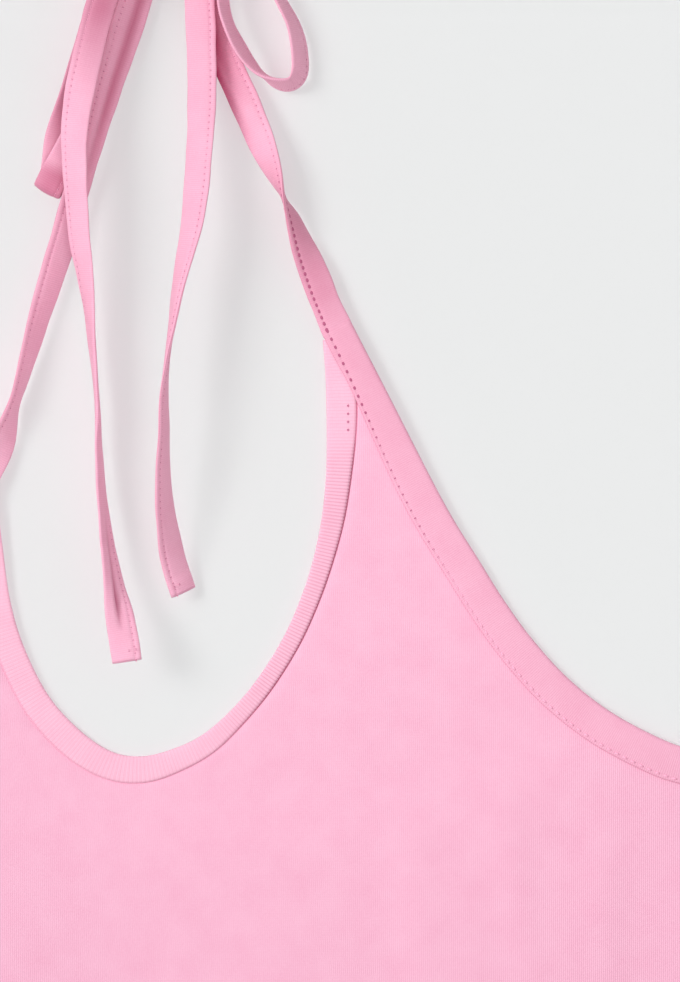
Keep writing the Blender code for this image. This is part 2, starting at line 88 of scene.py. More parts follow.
def lamp(name, kind, energy, direction, lights_sweep, lights_cloth):
    """A studio lamp that is switched on for the sweep, for the cloth, or for both."""
    data = bpy.data.lights.new(name, kind)
    data.energy = energy
    placed = bpy.data.objects.new(name, data)
    placed.rotation_mode = "QUATERNION"
    placed.rotation_quaternion = direction.to_track_quat("-Z", "Y")
    placed.visible_camera = False
    bpy.context.scene.collection.objects.link(placed)
    if not (lights_sweep and lights_cloth):
        lit = bpy.data.collections.new(name + "_lights")
        lit.objects.link(sweep)
        lit.collection_objects[0].light_linking.link_state = "INCLUDE" if lights_sweep else "EXCLUDE"
        placed.light_linking.receiver_collection = lit
    return placed


key = lamp("key", "SUN", 0.92, KEY_DIRECTION, True, True)
key.data.angle = math.radians(24)
modelling = lamp("modelling", "SUN", 0.75, KEY_DIRECTION, False, True)
modelling.data.angle = math.radians(14)
modelling.data.color = (0.96, 1.05, 1.03)
overhead = lamp("overhead", "AREA", 1.12, DOWNWARD, False, True)
overhead.data.shape = "DISK"
overhead.data.size = LAMP_SIZE
overhead.data.color = (0.95, 1.06, 1.03)
overhead.location = (0.03, 0.13, LAMP_HEIGHT)
sweep_light = lamp("sweep_light", "SUN", 1.69, DOWNWARD, True, False)
sweep_light.data.use_shadow = False
sweep_light.data.color = (0.95, 1.08, 1.05)
fill = bpy.data.worlds.new("fill")
fill.use_nodes = True
fill.node_tree.nodes["Background"].inputs["Color"].default_value = (1.05, 0.92, 0.96, 1)
fill.node_tree.nodes["Background"].inputs["Strength"].default_value = 0.45
bpy.context.scene.world = fill

# Front. One layer of fine cotton jersey, its wales running up the garment, cut with a deep scoop and two
# sloping armholes. It lies on the back, steps down onto the surface above it and rises to the straps.
HALF_CHEST = 202.0
HALF_HEM = 205.0
HEM_DROP = 310.0
CLOTH = 1.1
SEAM_GAP = 0.3
HEM_FOLD = 20.0
HEM_RISE = 0.5
BINDING_LIP = 1.3
ON_SURFACE = 0.5
STEP_DOWN_START = 4.0
STEP_DOWN_LENGTH = 30.0
STRAP_LIFT = 2.5
LIFT_START = {"left": 20.0, "right": 45.0}
LIFT_END = {"left": 95.0, "right": 145.0}
PANEL_PEAK = {"left": 88.5, "right": 142.0}
FABRIC_EDGE_STEP = 2.5
FABRIC_STEP = 3.0
EDGE_ROUND = 0.45
# Free edge of the neck band: x, y, band width
NECK_EDGE = [
    (-59.0, 94.0, 9.4),
    (-56.6, 74.0, 9.6),
    (-53.8, 54.0, 9.6),
    (-48.8, 37.0, 9.6),
    (-40.0, 19.6, 9.9),
    (-28.8, 7.2, 10.2),
    (-17.5, -0.4, 9.8),
    (-6.8, -2.2, 9.4),
    (4.0, 0.2, 8.3),
    (15.1, 5.4, 7.3),
    (25.6, 14.4, 6.4),
    (35.3, 25.9, 6.2),
    (44.3, 40.3, 6.2),
    (50.6, 54.4, 6.4),
    (55.1, 68.4, 6.9),
    (58.3, 83.9, 7.9),
    (59.8, 99.7, 9.0),
    (60.0, 116.0, 10.6),
    (59.6, 134.0, 11.0),
    (58.6, 147.5, 10.8),
]
# Outer edge of each armhole: x, y, with the cloth on the right hand
ARMHOLE_RIGHT = [
    (68.4, 154.8),
    (83.2, 126.0),
    (97.9, 97.2),
    (105.8, 82.8),
    (114.8, 68.4),
    (123.8, 54.0),
    (134.3, 39.6),
    (147.6, 25.2),
    (163.5, 13.0),
    (182.5, 3.2),
    (194.0, 0.0),
    (HALF_CHEST, -0.8),
]
ARMHOLE_LEFT = [
    (-HALF_CHEST, -0.8),
    (-194.0, 0.4),
    (-181.0, 5.6),
    (-163.0, 17.6),
    (-144.0, 31.5),
    (-126.0, 44.5),
    (-110.0, 57.0),
    (-95.6, 68.5),
    (-83.0, 80.0),
    (-73.8, 91.0),
    (-67.2, 103.0),
]
# Top edge of the back, right half: x, y
BACK_EDGE = [
    (0.0, -46.0),
    (40.0, -45.0),
    (85.0, -38.5),
    (130.0, -24.0),
    (166.0, -8.5),
    (188.0, -2.0),
    (HALF_CHEST, -0.8),
]
# Soft folds of the front: start x, start y, end x, end y, height, half width
FRONT_FOLDS = [
    (104.0, -20.0, 124.0, -160.0, 1.0, 19.0),
    (146.0, -34.0, 148.0, -185.0, 1.3, 15.0),
    (182.0, -48.0, 176.0, -170.0, 0.9, 14.0),
    (38.0, -52.0, 52.0, -190.0, 0.8, 20.0),
    (-58.0, -48.0, -44.0, -175.0, 0.9, 20.0),
    (-150.0, -30.0, -118.0, -160.0, 1.1, 17.0),
    (66.0, -190.0, 80.0, -430.0, 1.4, 16.0),
    (-26.0, -215.0, -36.0, -405.0, 1.3, 15.0),
    (-128.0, -205.0, -122.0, -415.0, 1.2, 17.0),
    (150.0, -200.0, 142.0, -420.0, 1.3, 18.0),
]
# Finer ripples that the cloth shows over those
FRONT_RIPPLES = [
    (90.0, -6.0, 96.0, -120.0, 0.5, 8.0),
    (122.0, 2.0, 136.0, -110.0, 0.6, 7.5),
    (160.0, -14.0, 162.0, -120.0, 0.6, 7.0),
    (192.0, -30.0, 190.0, -140.0, 0.5, 6.0),
    (64.0, -70.0, 74.0, -190.0, 0.45, 10.0),
    (8.0, -60.0, 14.0, -170.0, 0.4, 11.0),
    (-90.0, -20.0, -82.0, -140.0, 0.5, 9.0),
    (-120.0, 5.0, -132.0, -120.0, 0.55, 8.0),
    (-172.0, -20.0, -168.0, -130.0, 0.5, 7.0),
    (-60.0, -240.0, -66.0, -380.0, 0.6, 10.0),
    (10.0, -230.0, 16.0, -390.0, 0.6, 11.0),
    (112.0, -225.0, 108.0, -385.0, 0.6, 10.0),
    (-165.0, -215.0, -160.0, -390.0, 0.5, 10.0),
    (180.0, -230.0, 176.0, -380.0, 0.5, 9.0),
]


def smoothstep(value):
    value = np.clip(value, 0.0, 1.0)
    return value * value * (3.0 - 2.0 * value)


def smooth_path(rows, step, place_columns):
    """The rows of a table joined by one smooth curve, in even steps; the first columns are the place."""
    table = np.array(rows, float)
    table = np.vstack([2 * table[0] - table[1], table, 2 * table[-1] - table[-2]])
    fine = []
    for first in range(len(table) - 3):
        a, b, c, d = table[first : first + 4]
        for t in np.linspace(0.0, 1.0, 48, endpoint=False):
            bend = (2 * a - 5 * b + 4 * c - d) * t * t + (3 * b - a - 3 * c + d) * t**3
            fine.append(b + 0.5 * ((c - a) * t + bend))
    fine.append(table[-2])
    fine = np.array(fine)
    lengths = np.linalg.norm(np.diff(fine[:, :place_columns], axis=0), axis=1)
    along = np.concatenate([[0.0], np.cumsum(lengths)])
    even = np.linspace(0.0, along[-1], max(3, round(along[-1] / step)) + 1)
    return np.column_stack([np.interp(even, along, column) for column in fine.T])


def moved_right(path, distance):
    """A flat path moved to the right hand of someone who travels along it, within the side seams."""
    ahead = np.gradient(path[:, :2], axis=0)
    ahead /= np.linalg.norm(ahead, axis=1)[:, None]
    across = np.clip(path[:, 0] + distance * ahead[:, 1], -HALF_CHEST, HALF_CHEST)
    return np.column_stack([across, path[:, 1] - distance * ahead[:, 0]])


def fold_height(folds, x, y):
    lift = 0.0
    for start_x, start_y, end_x, end_y, height, half_width in folds:
        run = math.hypot(end_x - start_x, end_y - start_y)
        ahead_x, ahead_y = (end_x - start_x) / run, (end_y - start_y) / run
        along = ((x - start_x) * ahead_x + (y - start_y) * ahead_y) / run
        aside = (x - start_x) * ahead_y - (y - start_y) * ahead_x
        lift = lift + height * np.sin(np.pi * np.clip(along, 0.0, 1.0)) * np.exp(-((aside / half_width) ** 2))
    return lift


def front_under(x, y):
    """Height of the front's underside."""
    on_back = CLOTH + SEAM_GAP
    edge_across, edge_up = np.array(BACK_EDGE).T
    past_back = smoothstep((y - np.interp(np.abs(x), edge_across, edge_up) - STEP_DOWN_START) / STEP_DOWN_LENGTH)
    side_start = np.where(x < 0, LIFT_START["left"], LIFT_START["right"])
    side_end = np.where(x < 0, LIFT_END["left"], LIFT_END["right"])
    lift = STRAP_LIFT * smoothstep((y - side_start) / (side_end - side_start))
    return on_back + (ON_SURFACE - on_back) * past_back + lift + fold_height(FRONT_FOLDS, x, y)


def side_edge(y):
    """How far out the side seam is at y."""
    return HALF_CHEST + (HALF_HEM - HALF_CHEST) * np.clip(-y / HEM_DROP, 0.0, 1.0)


def front_low(x, y):
    """The front's underside with its ripples; at the side seams it comes down onto the back."""
    near_side = 1.0 - smoothstep((side_edge(y) - np.abs(x)) / 6.0)
    low_enough = smoothstep(-y / 12.0)
    ripples = fold_height(FRONT_RIPPLES, x, y) * (1.0 - near_side)
    return front_under(x, y) + ripples - SEAM_GAP * 0.9 * near_side * low_enough


def front_high(x, y):
    """The front's outer face: proud over the hem's fold, with a groove under each row of hem stitches."""
    hem = smoothstep((HEM_FOLD - HEM_DROP - y) / 1.5 + 1.0)
    rows = sum(np.exp(-(((y + HEM_DROP - row) / 0.9) ** 2)) for row in (HEM_FOLD - 5.0, HEM_FOLD - 1.8))
    return front_low(x, y) + CLOTH + HEM_RISE * hem - 0.22 * rows


def distance_inside(points, outline):
    """How far each point is inside a closed outline; negative outside it."""
    far = []
    for group in np.array_split(points, max(1, len(points) // 1500)):
        starts, across = outline, np.roll(outline, -1, axis=0) - outline
        to_start = group[:, None, :] - starts[None]
        share = np.clip((to_start * across).sum(2) / (across**2).sum(1), 0.0, 1.0)
        nearest = np.linalg.norm(to_start - share[:, :, None] * across, axis=2).min(axis=1)
        px, py = group[:, 0:1], group[:, 1:2]
        spans = (starts[:, 1] > py) != (np.roll(starts, -1, axis=0)[:, 1] > py)
        rise = np.where(across[:, 1] == 0, 1.0, across[:, 1])
        left_of = px < starts[:, 0] + (py - starts[:, 1]) * across[:, 0] / rise
        inside = (spans & left_of).sum(axis=1) % 2 == 1
        far.append(np.where(inside, nearest, -nearest))
    return np.concatenate(far)


def cloth_piece(name, points, faces, flat, material):
    """A named piece of cloth from points in millimetres; flat gives each face corner's place in the cut."""
    mesh = bpy.data.meshes.new(name)
    placed = (np.array(points) + (0.0, UNDERARM_Y, 0.0)) * MM
    mesh.from_pydata([tuple(point) for point in placed], [], faces)
    layout = mesh.uv_layers.new(name="cut")
    layout.data.foreach_set("uv", (np.array(flat, float) * MM).astype(np.float32).ravel())
    shaped = bmesh.new()
    shaped.from_mesh(mesh)
    bmesh.ops.recalc_face_normals(shaped, faces=shaped.faces)
    shaped.to_mesh(mesh)
    shaped.free()
    mesh.materials.append(material)
    mesh.shade_smooth()
    piece = bpy.data.objects.new(name, mesh)
    bpy.context.scene.collection.objects.link(piece)
    return piece


def cut_panel(name, outline, step, rows_at, under, over, material):
    """A flat-cut layer of cloth with soft cut edges: its outline filled with points, lifted to two faces."""
    ahead = np.roll(outline, -1, axis=0) - np.roll(outline, 1, axis=0)
    ahead /= np.linalg.norm(ahead, axis=1)[:, None]
    outward = np.column_stack([ahead[:, 1], -ahead[:, 0]])
    rim = outline - EDGE_ROUND * outward
    low, high = outline.min(axis=0), outline.max(axis=0)
    across = np.arange(low[0] + step / 2, high[0], step)
    up = np.concatenate([np.arange(low[1] + step / 2, high[1], step), rows_at])
    grid = np.array([(x + (i % 2) * step / 2, y) for i, y in enumerate(up) for x in across])
    near_row = np.array([any(0 < abs(y - row) < step / 3 for row in rows_at) for _, y in grid])
    grid = grid[~near_row]
    grid = grid[distance_inside(grid, rim) > 0.5 * step]
    flat = [Vector(point) for point in np.vstack([rim, grid])]
    ring = [(i, (i + 1) % len(rim)) for i in range(len(rim))]
    flat, _, triangles, *_ = delaunay_2d_cdt(flat, ring, [], 1, 1e-6)
    flat = np.array([tuple(point) for point in flat])
    count, rim_count = len(flat), len(rim)
    top_z, bottom_z = over(flat[:, 0], flat[:, 1]), under(flat[:, 0], flat[:, 1])
    thick = (top_z - bottom_z)[:rim_count]
    points = [np.column_stack([flat, top_z]), np.column_stack([flat, bottom_z])]
    for inset, share in ((0.13, 0.86), (0.0, 0.5), (0.13, 0.14)):
        points.append(np.column_stack([outline - inset * outward, bottom_z[:rim_count] + share * thick]))
    faces = [tuple(t) for t in triangles] + [tuple(i + count for i in reversed(t)) for t in triangles]
    rings = [np.arange(rim_count)]
    rings += [2 * count + k * rim_count + np.arange(rim_count) for k in range(3)]
    rings.append(count + np.arange(rim_count))
    for upper, lower in zip(rings, rings[1:]):
        for i in range(rim_count):
            j = (i + 1) % rim_count
            faces.append((upper[i], lower[i], lower[j], upper[j]))
    points = np.vstack(points)
    faces = [tuple(int(i) for i in face) for face in faces]
    cut = [points[i, :2] for face in faces for i in face]
    return cloth_piece(name, points, faces, cut, material)


def side_seam(side, top, step):
    drop = np.arange(top - step, step / 2 - HEM_DROP, -step)
    return np.column_stack([side * side_edge(drop), drop])


def hem_line(step):
    across = np.linspace(-HALF_HEM, HALF_HEM, round(2 * HALF_HEM / step) + 1)
    return np.column_stack([across, np.full(len(across), -HEM_DROP)])


class Dye:
    """A socket of a material. Sums on it add Math nodes, and node() brings in any other node."""

    def __init__(self, tree, socket=None):
        self.tree = tree
        self.socket = socket

    def node(self, kind, settings, values, output=0):
        made = self.tree.nodes.new(kind)
        for setting, value in settings.items():
            setattr(made, setting, value)
        for place, value in values.items():
            if isinstance(value, Dye):
                self.tree.links.new(value.socket, made.inputs[place])
            else:
                made.inputs[place].default_value = value
        return Dye(self.tree, made.outputs[output])

    def maths(self, operation, *values):
        return self.node("ShaderNodeMath", {"operation": operation}, dict(enumerate(values)))

    def __add__(self, other):
        return self.maths("ADD", self, other)

    def __sub__(self, other):
        return self.maths("SUBTRACT", self, other)

    def __rsub__(self, other):
        return self.maths("SUBTRACT", other, self)

    def __mul__(self, other):
        return self.maths("MULTIPLY", self, other)

    __radd__ = __add__
    __rmul__ = __mul__


def linear(colour):
    """An sRGB colour out of 255 as linear values."""
    values = [channel / 255 for channel in colour]
    return [v / 12.92 if v <= 0.04045 else ((v + 0.055) / 1.055) ** 2.4 for v in values] + [1.0]


# Colour of the painted shade laid on the cloth in folds, creases, rib hollows, the neck ditch and under the ties
PAINTED_SHADE_COLOUR = (176, 52, 96)


def knitted(name, light, deep, wale, course, relief, sheen):
    """Weft knit: columns of V-shaped loops at the wale and course pitch in millimetres, a little uneven."""
    material = bpy.data.materials.new(name)
    material.use_nodes = True
    tree = material.node_tree
    shader = tree.nodes["Principled BSDF"]
    dye = Dye(tree)
    cut = dye.node("ShaderNodeUVMap", {"uv_map": "cut"}, {})
    uneven = dye.node("ShaderNodeTexNoise", {}, {"Vector": cut, "Scale": 260.0, "Detail": 2.0})
    across = dye.node("ShaderNodeSeparateXYZ", {}, {0: cut}, 0) * (1000.0 / wale) + uneven * 0.5
    along = dye.node("ShaderNodeSeparateXYZ", {}, {0: cut}, 1) * (1000.0 / course)
    slant = (across.maths("FRACT", across) - 0.5).maths("ABSOLUTE", across.maths("FRACT", across) - 0.5)
    column = across.maths("ABSOLUTE", across.maths("SINE", across * math.pi))
    loop = across.maths("SINE", (along + slant * 1.1) * (2 * math.pi)) * 0.5 + 0.5
    yarn = column * 0.62 + loop * column * 0.38
    mottle = dye.node("ShaderNodeTexNoise", {}, {"Vector": cut, "Scale": 75.0, "Detail": 4.0, "Roughness": 0.6})
    speck = dye.node("ShaderNodeTexNoise", {}, {"Vector": cut, "Scale": 1300.0, "Detail": 2.0})
    # The darker gaps between the yarn loops are painted shade; the mottle and speckle are the jersey's own uneven tone.
    depth = (1 - yarn) * 0.34 + (mottle - 0.5) * 0.5 + (speck - 0.5) * 0.35
    colour = dye.node(
        "ShaderNodeMix",
        {"data_type": "RGBA", "clamp_factor": True},
        {0: depth, 6: linear(light), 7: linear(deep)},
        2,
    )
    # Painted shade: the attribute read here mixes the colour towards the painted shade colour, darkening folds,
    # creases, rib hollows, the neck ditch and places under the ties.
    painted_shade = dye.node("ShaderNodeAttribute", {"attribute_name": "painted_shade"}, {}, 2)
    colour = dye.node(
        "ShaderNodeMix", {"data_type": "RGBA", "clamp_factor": True}, {0: painted_shade, 6: colour, 7: linear(PAINTED_SHADE_COLOUR)}, 2
    )
    tree.links.new(colour.socket, shader.inputs["Base Color"])
    rough = 0.8 + (speck - 0.5) * 0.2
    tree.links.new(rough.socket, shader.inputs["Roughness"])
    height = yarn * 0.8 + speck * 0.25
    bump = dye.node("ShaderNodeBump", {}, {"Strength": relief, "Distance": 0.00022, "Height": height})
    tree.links.new(bump.socket, shader.inputs["Normal"])
    shader.inputs["Specular IOR Level"].default_value = 0.25
    shader.inputs["Sheen Weight"].default_value = sheen
    shader.inputs["Sheen Roughness"].default_value = 0.45
    shader.inputs["Sheen Tint"].default_value = linear((255, 226, 238))
    return material


jersey = knitted("fine_jersey", (245, 187, 210), (229, 143, 176), 0.72, 0.62, 0.5, 0.18)

right_edge = smooth_path(ARMHOLE_RIGHT, FABRIC_EDGE_STEP, 2)
left_edge = smooth_path(ARMHOLE_LEFT, FABRIC_EDGE_STEP, 2)
neck_line = smooth_path(NECK_EDGE, FABRIC_EDGE_STEP, 2)
right_cut = moved_right(right_edge, BINDING_LIP + SEAM_GAP)
left_cut = moved_right(left_edge, BINDING_LIP + SEAM_GAP)
neck_cut = moved_right(neck_line, neck_line[:, 2] + SEAM_GAP)
right_cut = right_cut[right_cut[:, 1] < PANEL_PEAK["right"]]
left_cut = left_cut[left_cut[:, 1] < PANEL_PEAK["left"]]
neck_cut = neck_cut[neck_cut[:, 1] < np.where(neck_cut[:, 0] < 0, PANEL_PEAK["left"], PANEL_PEAK["right"])]
front_cut = np.vstack([
    hem_line(FABRIC_STEP),
    side_seam(1, right_cut[-1, 1], FABRIC_STEP)[::-1],
    right_cut[::-1],
    neck_cut[::-1],
    left_cut[::-1],
    side_seam(-1, left_cut[0, 1], FABRIC_STEP),
])
hem_rows = [-HEM_DROP + row for row in (13.8, 15.0, 16.2, 17.0, 18.2, 19.4, 20.0, 21.5)]
front = cut_panel("front_jersey", front_cut, FABRIC_STEP, hem_rows, front_low, front_high, jersey)
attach(front, "root")
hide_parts("front_panel")

# Back. The same jersey, cut low: its top edge dips between the armholes. It lies flat, wrong side up.
BACK_BINDING_WIDTH = 11.0
left_half = [(-x, y) for x, y in reversed(BACK_EDGE[1:])]
back_edge = smooth_path(left_half + BACK_EDGE, FABRIC_EDGE_STEP, 2)
back_cut = moved_right(back_edge, BACK_BINDING_WIDTH + SEAM_GAP)
back_outline = np.vstack([
    hem_line(FABRIC_STEP),
    side_seam(1, back_cut[-1, 1], FABRIC_STEP)[::-1],
    back_cut[::-1],
    side_seam(-1, back_cut[0, 1], FABRIC_STEP),
])


def back_low(x, y):
    return np.zeros(np.shape(x))


def back_high(x, y):
    return np.full(np.shape(x), CLOTH)


back = cut_panel("back_jersey", back_outline, 5.0, [], back_low, back_high, jersey)
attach(back, "root")
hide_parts("back_panel")

# Neck band. Fine rib folded double, its ribs running across it, sewn to the scoop so that a crisp ditch
# shows along the seam. Its ends lie under the armhole bindings.
NECK_THICK = 1.9
NECK_COVERED = 32.0
NECK_THICKENS = 16.0
RIB_PITCH = 1.2
RIB_DEPTH = 0.2
# Painted shade in the hollows between the ribs, over their real relief
RIB_PAINTED_SHADE = 0.32
# The ditch along the seam is open on the right and all but shut at the bottom and the left
DITCH_SHUT = 0.22
DITCH_OPEN = 0.06


def lofted(name, rings, material, attributes=()):
    """A closed strip through rings of points, capped at both ends, its cut laid out round and along it."""
    rings = np.array(rings)
    count, size = rings.shape[:2]
    round_it = np.linalg.norm(np.diff(rings, axis=1, append=rings[:, :1]), axis=2).mean(axis=0)
    round_it = np.concatenate([[0.0], np.cumsum(round_it)])
    steps = np.linalg.norm(np.diff(rings.mean(axis=1), axis=0), axis=1)
    along = np.concatenate([[0.0], np.cumsum(steps)])
    faces, flat = [], []
    for ring in range(count - 1):
        for i in range(size):
            here, after = ring * size + i, ring * size + (i + 1) % size
            faces.append((here, after, after + size, here + size))
            for place, row in ((i, ring), (i + 1, ring), (i + 1, ring + 1), (i, ring + 1)):
                flat.append((along[row], round_it[place]))
    for ring in (0, count - 1):
        faces.append(tuple(range(ring * size, (ring + 1) * size)))
        flat += [(along[ring], round_it[i]) for i in range(size)]
    piece = cloth_piece(name, rings.reshape(-1, 3), faces, flat, material)
    for label, values in dict(attributes).items():
        layer = piece.data.attributes.new(label, "FLOAT", "POINT")
        layer.data.foreach_set("value", np.array(values, np.float32).ravel())
    return piece


def made_mesh(piece, tree, inputs):
    """The piece's mesh after a tree of Geometry Nodes has worked on it, with nothing left to evaluate."""
    modifier = piece.modifiers.new("made", "NODES")
    modifier.node_group = tree
    for item in tree.interface.items_tree:
        if item.in_out == "INPUT" and item.name in inputs:
            modifier[item.identifier] = inputs[item.name]
    evaluated = piece.evaluated_get(bpy.context.evaluated_depsgraph_get())
    mesh = bpy.data.meshes.new_from_object(evaluated)
    piece.modifiers.clear()
    piece.data = mesh
    mesh.shade_smooth()
    return piece


class Works(Dye):
    """The same for a tree of Geometry Nodes, with its named inputs."""

    def __init__(self, tree, socket=None):
        super().__init__(tree, socket)

    def node(self, kind, settings, values, output=0):
        made = super().node(kind, settings, values, output)
        return Works(self.tree, made.socket)


def works_tree(name, inputs):
    """An empty tree with named inputs, and the sockets that carry them."""
    tree = bpy.data.node_groups.new(name, "GeometryNodeTree")
    tree.interface.new_socket("Geometry", in_out="OUTPUT", socket_type="NodeSocketGeometry")
    tree.interface.new_socket("Geometry", in_out="INPUT", socket_type="NodeSocketGeometry")
    for label, kind in inputs:
        tree.interface.new_socket(label, in_out="INPUT", socket_type=kind)
    entry = tree.nodes.new("NodeGroupInput")
    sockets = {socket.name: Works(tree, socket) for socket in entry.outputs if socket.name}
    return tree, sockets


def finish_tree(tree, last):
    end = tree.nodes.new("NodeGroupOutput")
    tree.links.new(last.socket, end.inputs[0])


rib_tree, given = works_tree("ribs_across", [("Rib pitch", "NodeSocketFloat"), ("Rib depth", "NodeSocketFloat")])
works = Works(rib_tree)
place_along = works.node("GeometryNodeInputNamedAttribute", {"data_type": "FLOAT"}, {"Name": "along"})
how_ribbed = works.node("GeometryNodeInputNamedAttribute", {"data_type": "FLOAT"}, {"Name": "ribbed"})
turns = works.maths("DIVIDE", place_along, given["Rib pitch"]) * math.pi
hump = works.maths("ABSOLUTE", works.maths("SINE", turns))
rise = (hump - 0.5) * how_ribbed * given["Rib depth"]
facing = works.node("GeometryNodeInputNormal", {}, {})
shift = works.node("ShaderNodeVectorMath", {"operation": "SCALE"}, {0: facing, "Scale": rise})
finish_tree(rib_tree, works.node("GeometryNodeSetPosition", {}, {"Geometry": given["Geometry"], "Offset": shift}))

rib_pink = knitted("fine_rib", (250, 194, 215), (236, 155, 184), 0.6, 0.6, 0.3, 0.2)


def neck_rings():
    edge = smooth_path(NECK_EDGE, RIB_PITCH / 4, 2)
    steps = np.arange(len(edge))
    from_end = np.minimum(steps, steps[::-1]) * RIB_PITCH / 4
    grown = smoothstep((from_end - NECK_COVERED) / NECK_THICKENS)
    thick = CLOTH + (NECK_THICK - CLOTH) * grown
    open_ditch = smoothstep((edge[:, 0] - 12.0) / 26.0)
    wide = edge[:, 2] + DITCH_SHUT - (DITCH_SHUT + DITCH_OPEN) * open_ditch
    rings, ribbed = [], []
    for share, side in [(s, 1) for s in (0.0, 0.03, 0.1, 0.22, 0.4, 0.6, 0.78, 0.9, 0.97, 1.0)] + [
        (s, -1) for s in (0.97, 0.85, 0.5, 0.15, 0.03)
    ]:
        inward = share * wide
        from_edge = np.minimum(inward, wide - inward)
        corner = 0.75
        round_off = np.sqrt(np.clip(1 - (1 - np.clip(from_edge / corner, 0, 1)) ** 2, 0, 1))
        crown = 0.86 + 0.14 * np.sin(np.pi * share)
        place = moved_right(edge, inward)
        middle = front_under(place[:, 0], place[:, 1]) + thick / 2
        rings.append(np.column_stack([place, middle + side * round_off * thick / 2 * crown]))
        ribbed.append((0.3 + 0.7 * grown) * (0.35 + 0.65 * open_ditch) * (1.0 if side > 0 else 0.3))
    allowance = []
    filled = 0.95 - 0.45 * open_ditch
    for beyond, high in ((-1.3, -0.28), (-1.3, filled), (1.3, filled), (1.3, -0.28)):
        place = moved_right(edge, edge[:, 2] + beyond)
        allowance.append(np.column_stack([place, front_under(place[:, 0], place[:, 1]) + high]))
    return np.stack(rings, axis=1), np.stack(ribbed, axis=1), np.stack(allowance, axis=1), open_ditch


rings, ribbed, allowance, open_ditch = neck_rings()
ribs_along = np.repeat(np.arange(len(rings))[:, None] * RIB_PITCH / 4, rings.shape[1], axis=1)
# Painted shade between the ribs, strongest where the ribs are deepest
painted_shade_between_ribs = RIB_PAINTED_SHADE * ribbed * (1 - np.abs(np.sin(np.pi * ribs_along / RIB_PITCH)))
neck = lofted("neck_rib", rings, rib_pink, {"along": ribs_along * MM, "ribbed": ribbed, "painted_shade": painted_shade_between_ribs})
made_mesh(neck, rib_tree, {"Rib pitch": RIB_PITCH * MM, "Rib depth": RIB_DEPTH * MM})
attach(neck, "root")
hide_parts("neck_band")
# The seam allowance is painted darker as shade in the neck ditch, most where the ditch is open.
painted_ditch_shade = np.repeat(0.1 + 0.5 * open_ditch[:, None], 4, axis=1)
seam = lofted("neck_seam_allowance", allowance, rib_pink, {"painted_shade": painted_ditch_shade})
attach(seam, "root")

# Armhole bindings. A strip of the same jersey folded over the raw edge and sewn down by one row of
# topstitching; it is a shade deeper than the body and runs on above as the strap.
BINDING_WIDTH = 14.0
BINDING_AT_STRAP = 11.3
BINDING_TAPER = 70.0
BINDING_THICK = 1.0
STITCH_INSET = 2.2
STITCH_PITCH = 3.2
HOLES_OPEN_ABOVE = 132.0
# Painted shade on the binding, darkest where it meets the strap and fading along the armhole
BINDING_PAINTED_SHADE = 0.13
strip_pink = knitted("binding_jersey", (243, 181, 204), (224, 134, 167), 0.75, 0.6, 0.4, 0.2)

thread = bpy.data.materials.new("thread")
thread.use_nodes = True
thread_shader = thread.node_tree.nodes["Principled BSDF"]
thread_dye = Dye(thread.node_tree)
twist = thread_dye.node("ShaderNodeTexNoise", {}, {"Scale": 3000.0})
thread_colour = thread_dye.node(
    "ShaderNodeMix", {"data_type": "RGBA"}, {0: twist, 6: linear((252, 190, 214)), 7: linear((238, 160, 190))}, 2
)
thread.node_tree.links.new(thread_colour.socket, thread_shader.inputs["Base Color"])
thread_shader.inputs["Roughness"].default_value = 0.6
# The needle holes are small dark lumps on the surface: their dark colour is painted shade in the holes.
needle_hole_painted_shade = bpy.data.materials.new("needle_hole_painted_shade")
needle_hole_painted_shade.use_nodes = True
hole_shader = needle_hole_painted_shade.node_tree.nodes["Principled BSDF"]
hole_dye = Dye(needle_hole_painted_shade.node_tree)
pit = hole_dye.node("ShaderNodeTexNoise", {}, {"Scale": 2000.0})
hole_painted_shade_colour = hole_dye.node(
    "ShaderNodeMix", {"data_type": "RGBA"}, {0: pit, 6: linear((168, 84, 118)), 7: linear((196, 104, 140))}, 2
)
needle_hole_painted_shade.node_tree.links.new(hole_painted_shade_colour.socket, hole_shader.inputs["Base Color"])
hole_shader.inputs["Roughness"].default_value = 0.95

stitch_tree, given = works_tree("row_of_stitches", [
    ("Stitch pitch", "NodeSocketFloat"),
    ("Stitch length", "NodeSocketFloat"),
    ("Thread width", "NodeSocketFloat"),
    ("Hole size", "NodeSocketFloat"),
    ("Thread", "NodeSocketMaterial"),
    ("Hole", "NodeSocketMaterial"),
])
works = Works(stitch_tree)
row = works.node("GeometryNodeMeshToCurve", {}, {"Mesh": given["Geometry"]})
row = works.node("GeometryNodeResampleCurve", {"mode": "LENGTH"}, {"Curve": row, "Length": given["Stitch pitch"]})
tangent = works.node("GeometryNodeInputTangent", {}, {})
upward = works.node("GeometryNodeInputNamedAttribute", {"data_type": "FLOAT_VECTOR"}, {"Name": "upward"})
bead = works.node("GeometryNodeInputNamedAttribute", {"data_type": "FLOAT"}, {"Name": "bead"})
open_hole = works.node("GeometryNodeInputNamedAttribute", {"data_type": "FLOAT"}, {"Name": "hole"})
turned = works.node("FunctionNodeAlignRotationToVector", {"axis": "X"}, {"Vector": tangent})
turned = works.node(
    "FunctionNodeAlignRotationToVector", {"axis": "Z", "pivot_axis": "X"}, {"Rotation": turned, "Vector": upward}
)
knob = works.node("GeometryNodeMeshUVSphere", {}, {"Segments": 8, "Rings": 5, "Radius": 0.5})
lump = works.node("ShaderNodeCombineXYZ", {}, {
    0: given["Stitch length"],
    1: given["Thread width"] * bead,
    2: given["Thread width"] * bead * 0.8,
})
threads = works.node(
    "GeometryNodeInstanceOnPoints", {}, {"Points": row, "Instance": knob, "Rotation": turned, "Scale": lump}
)
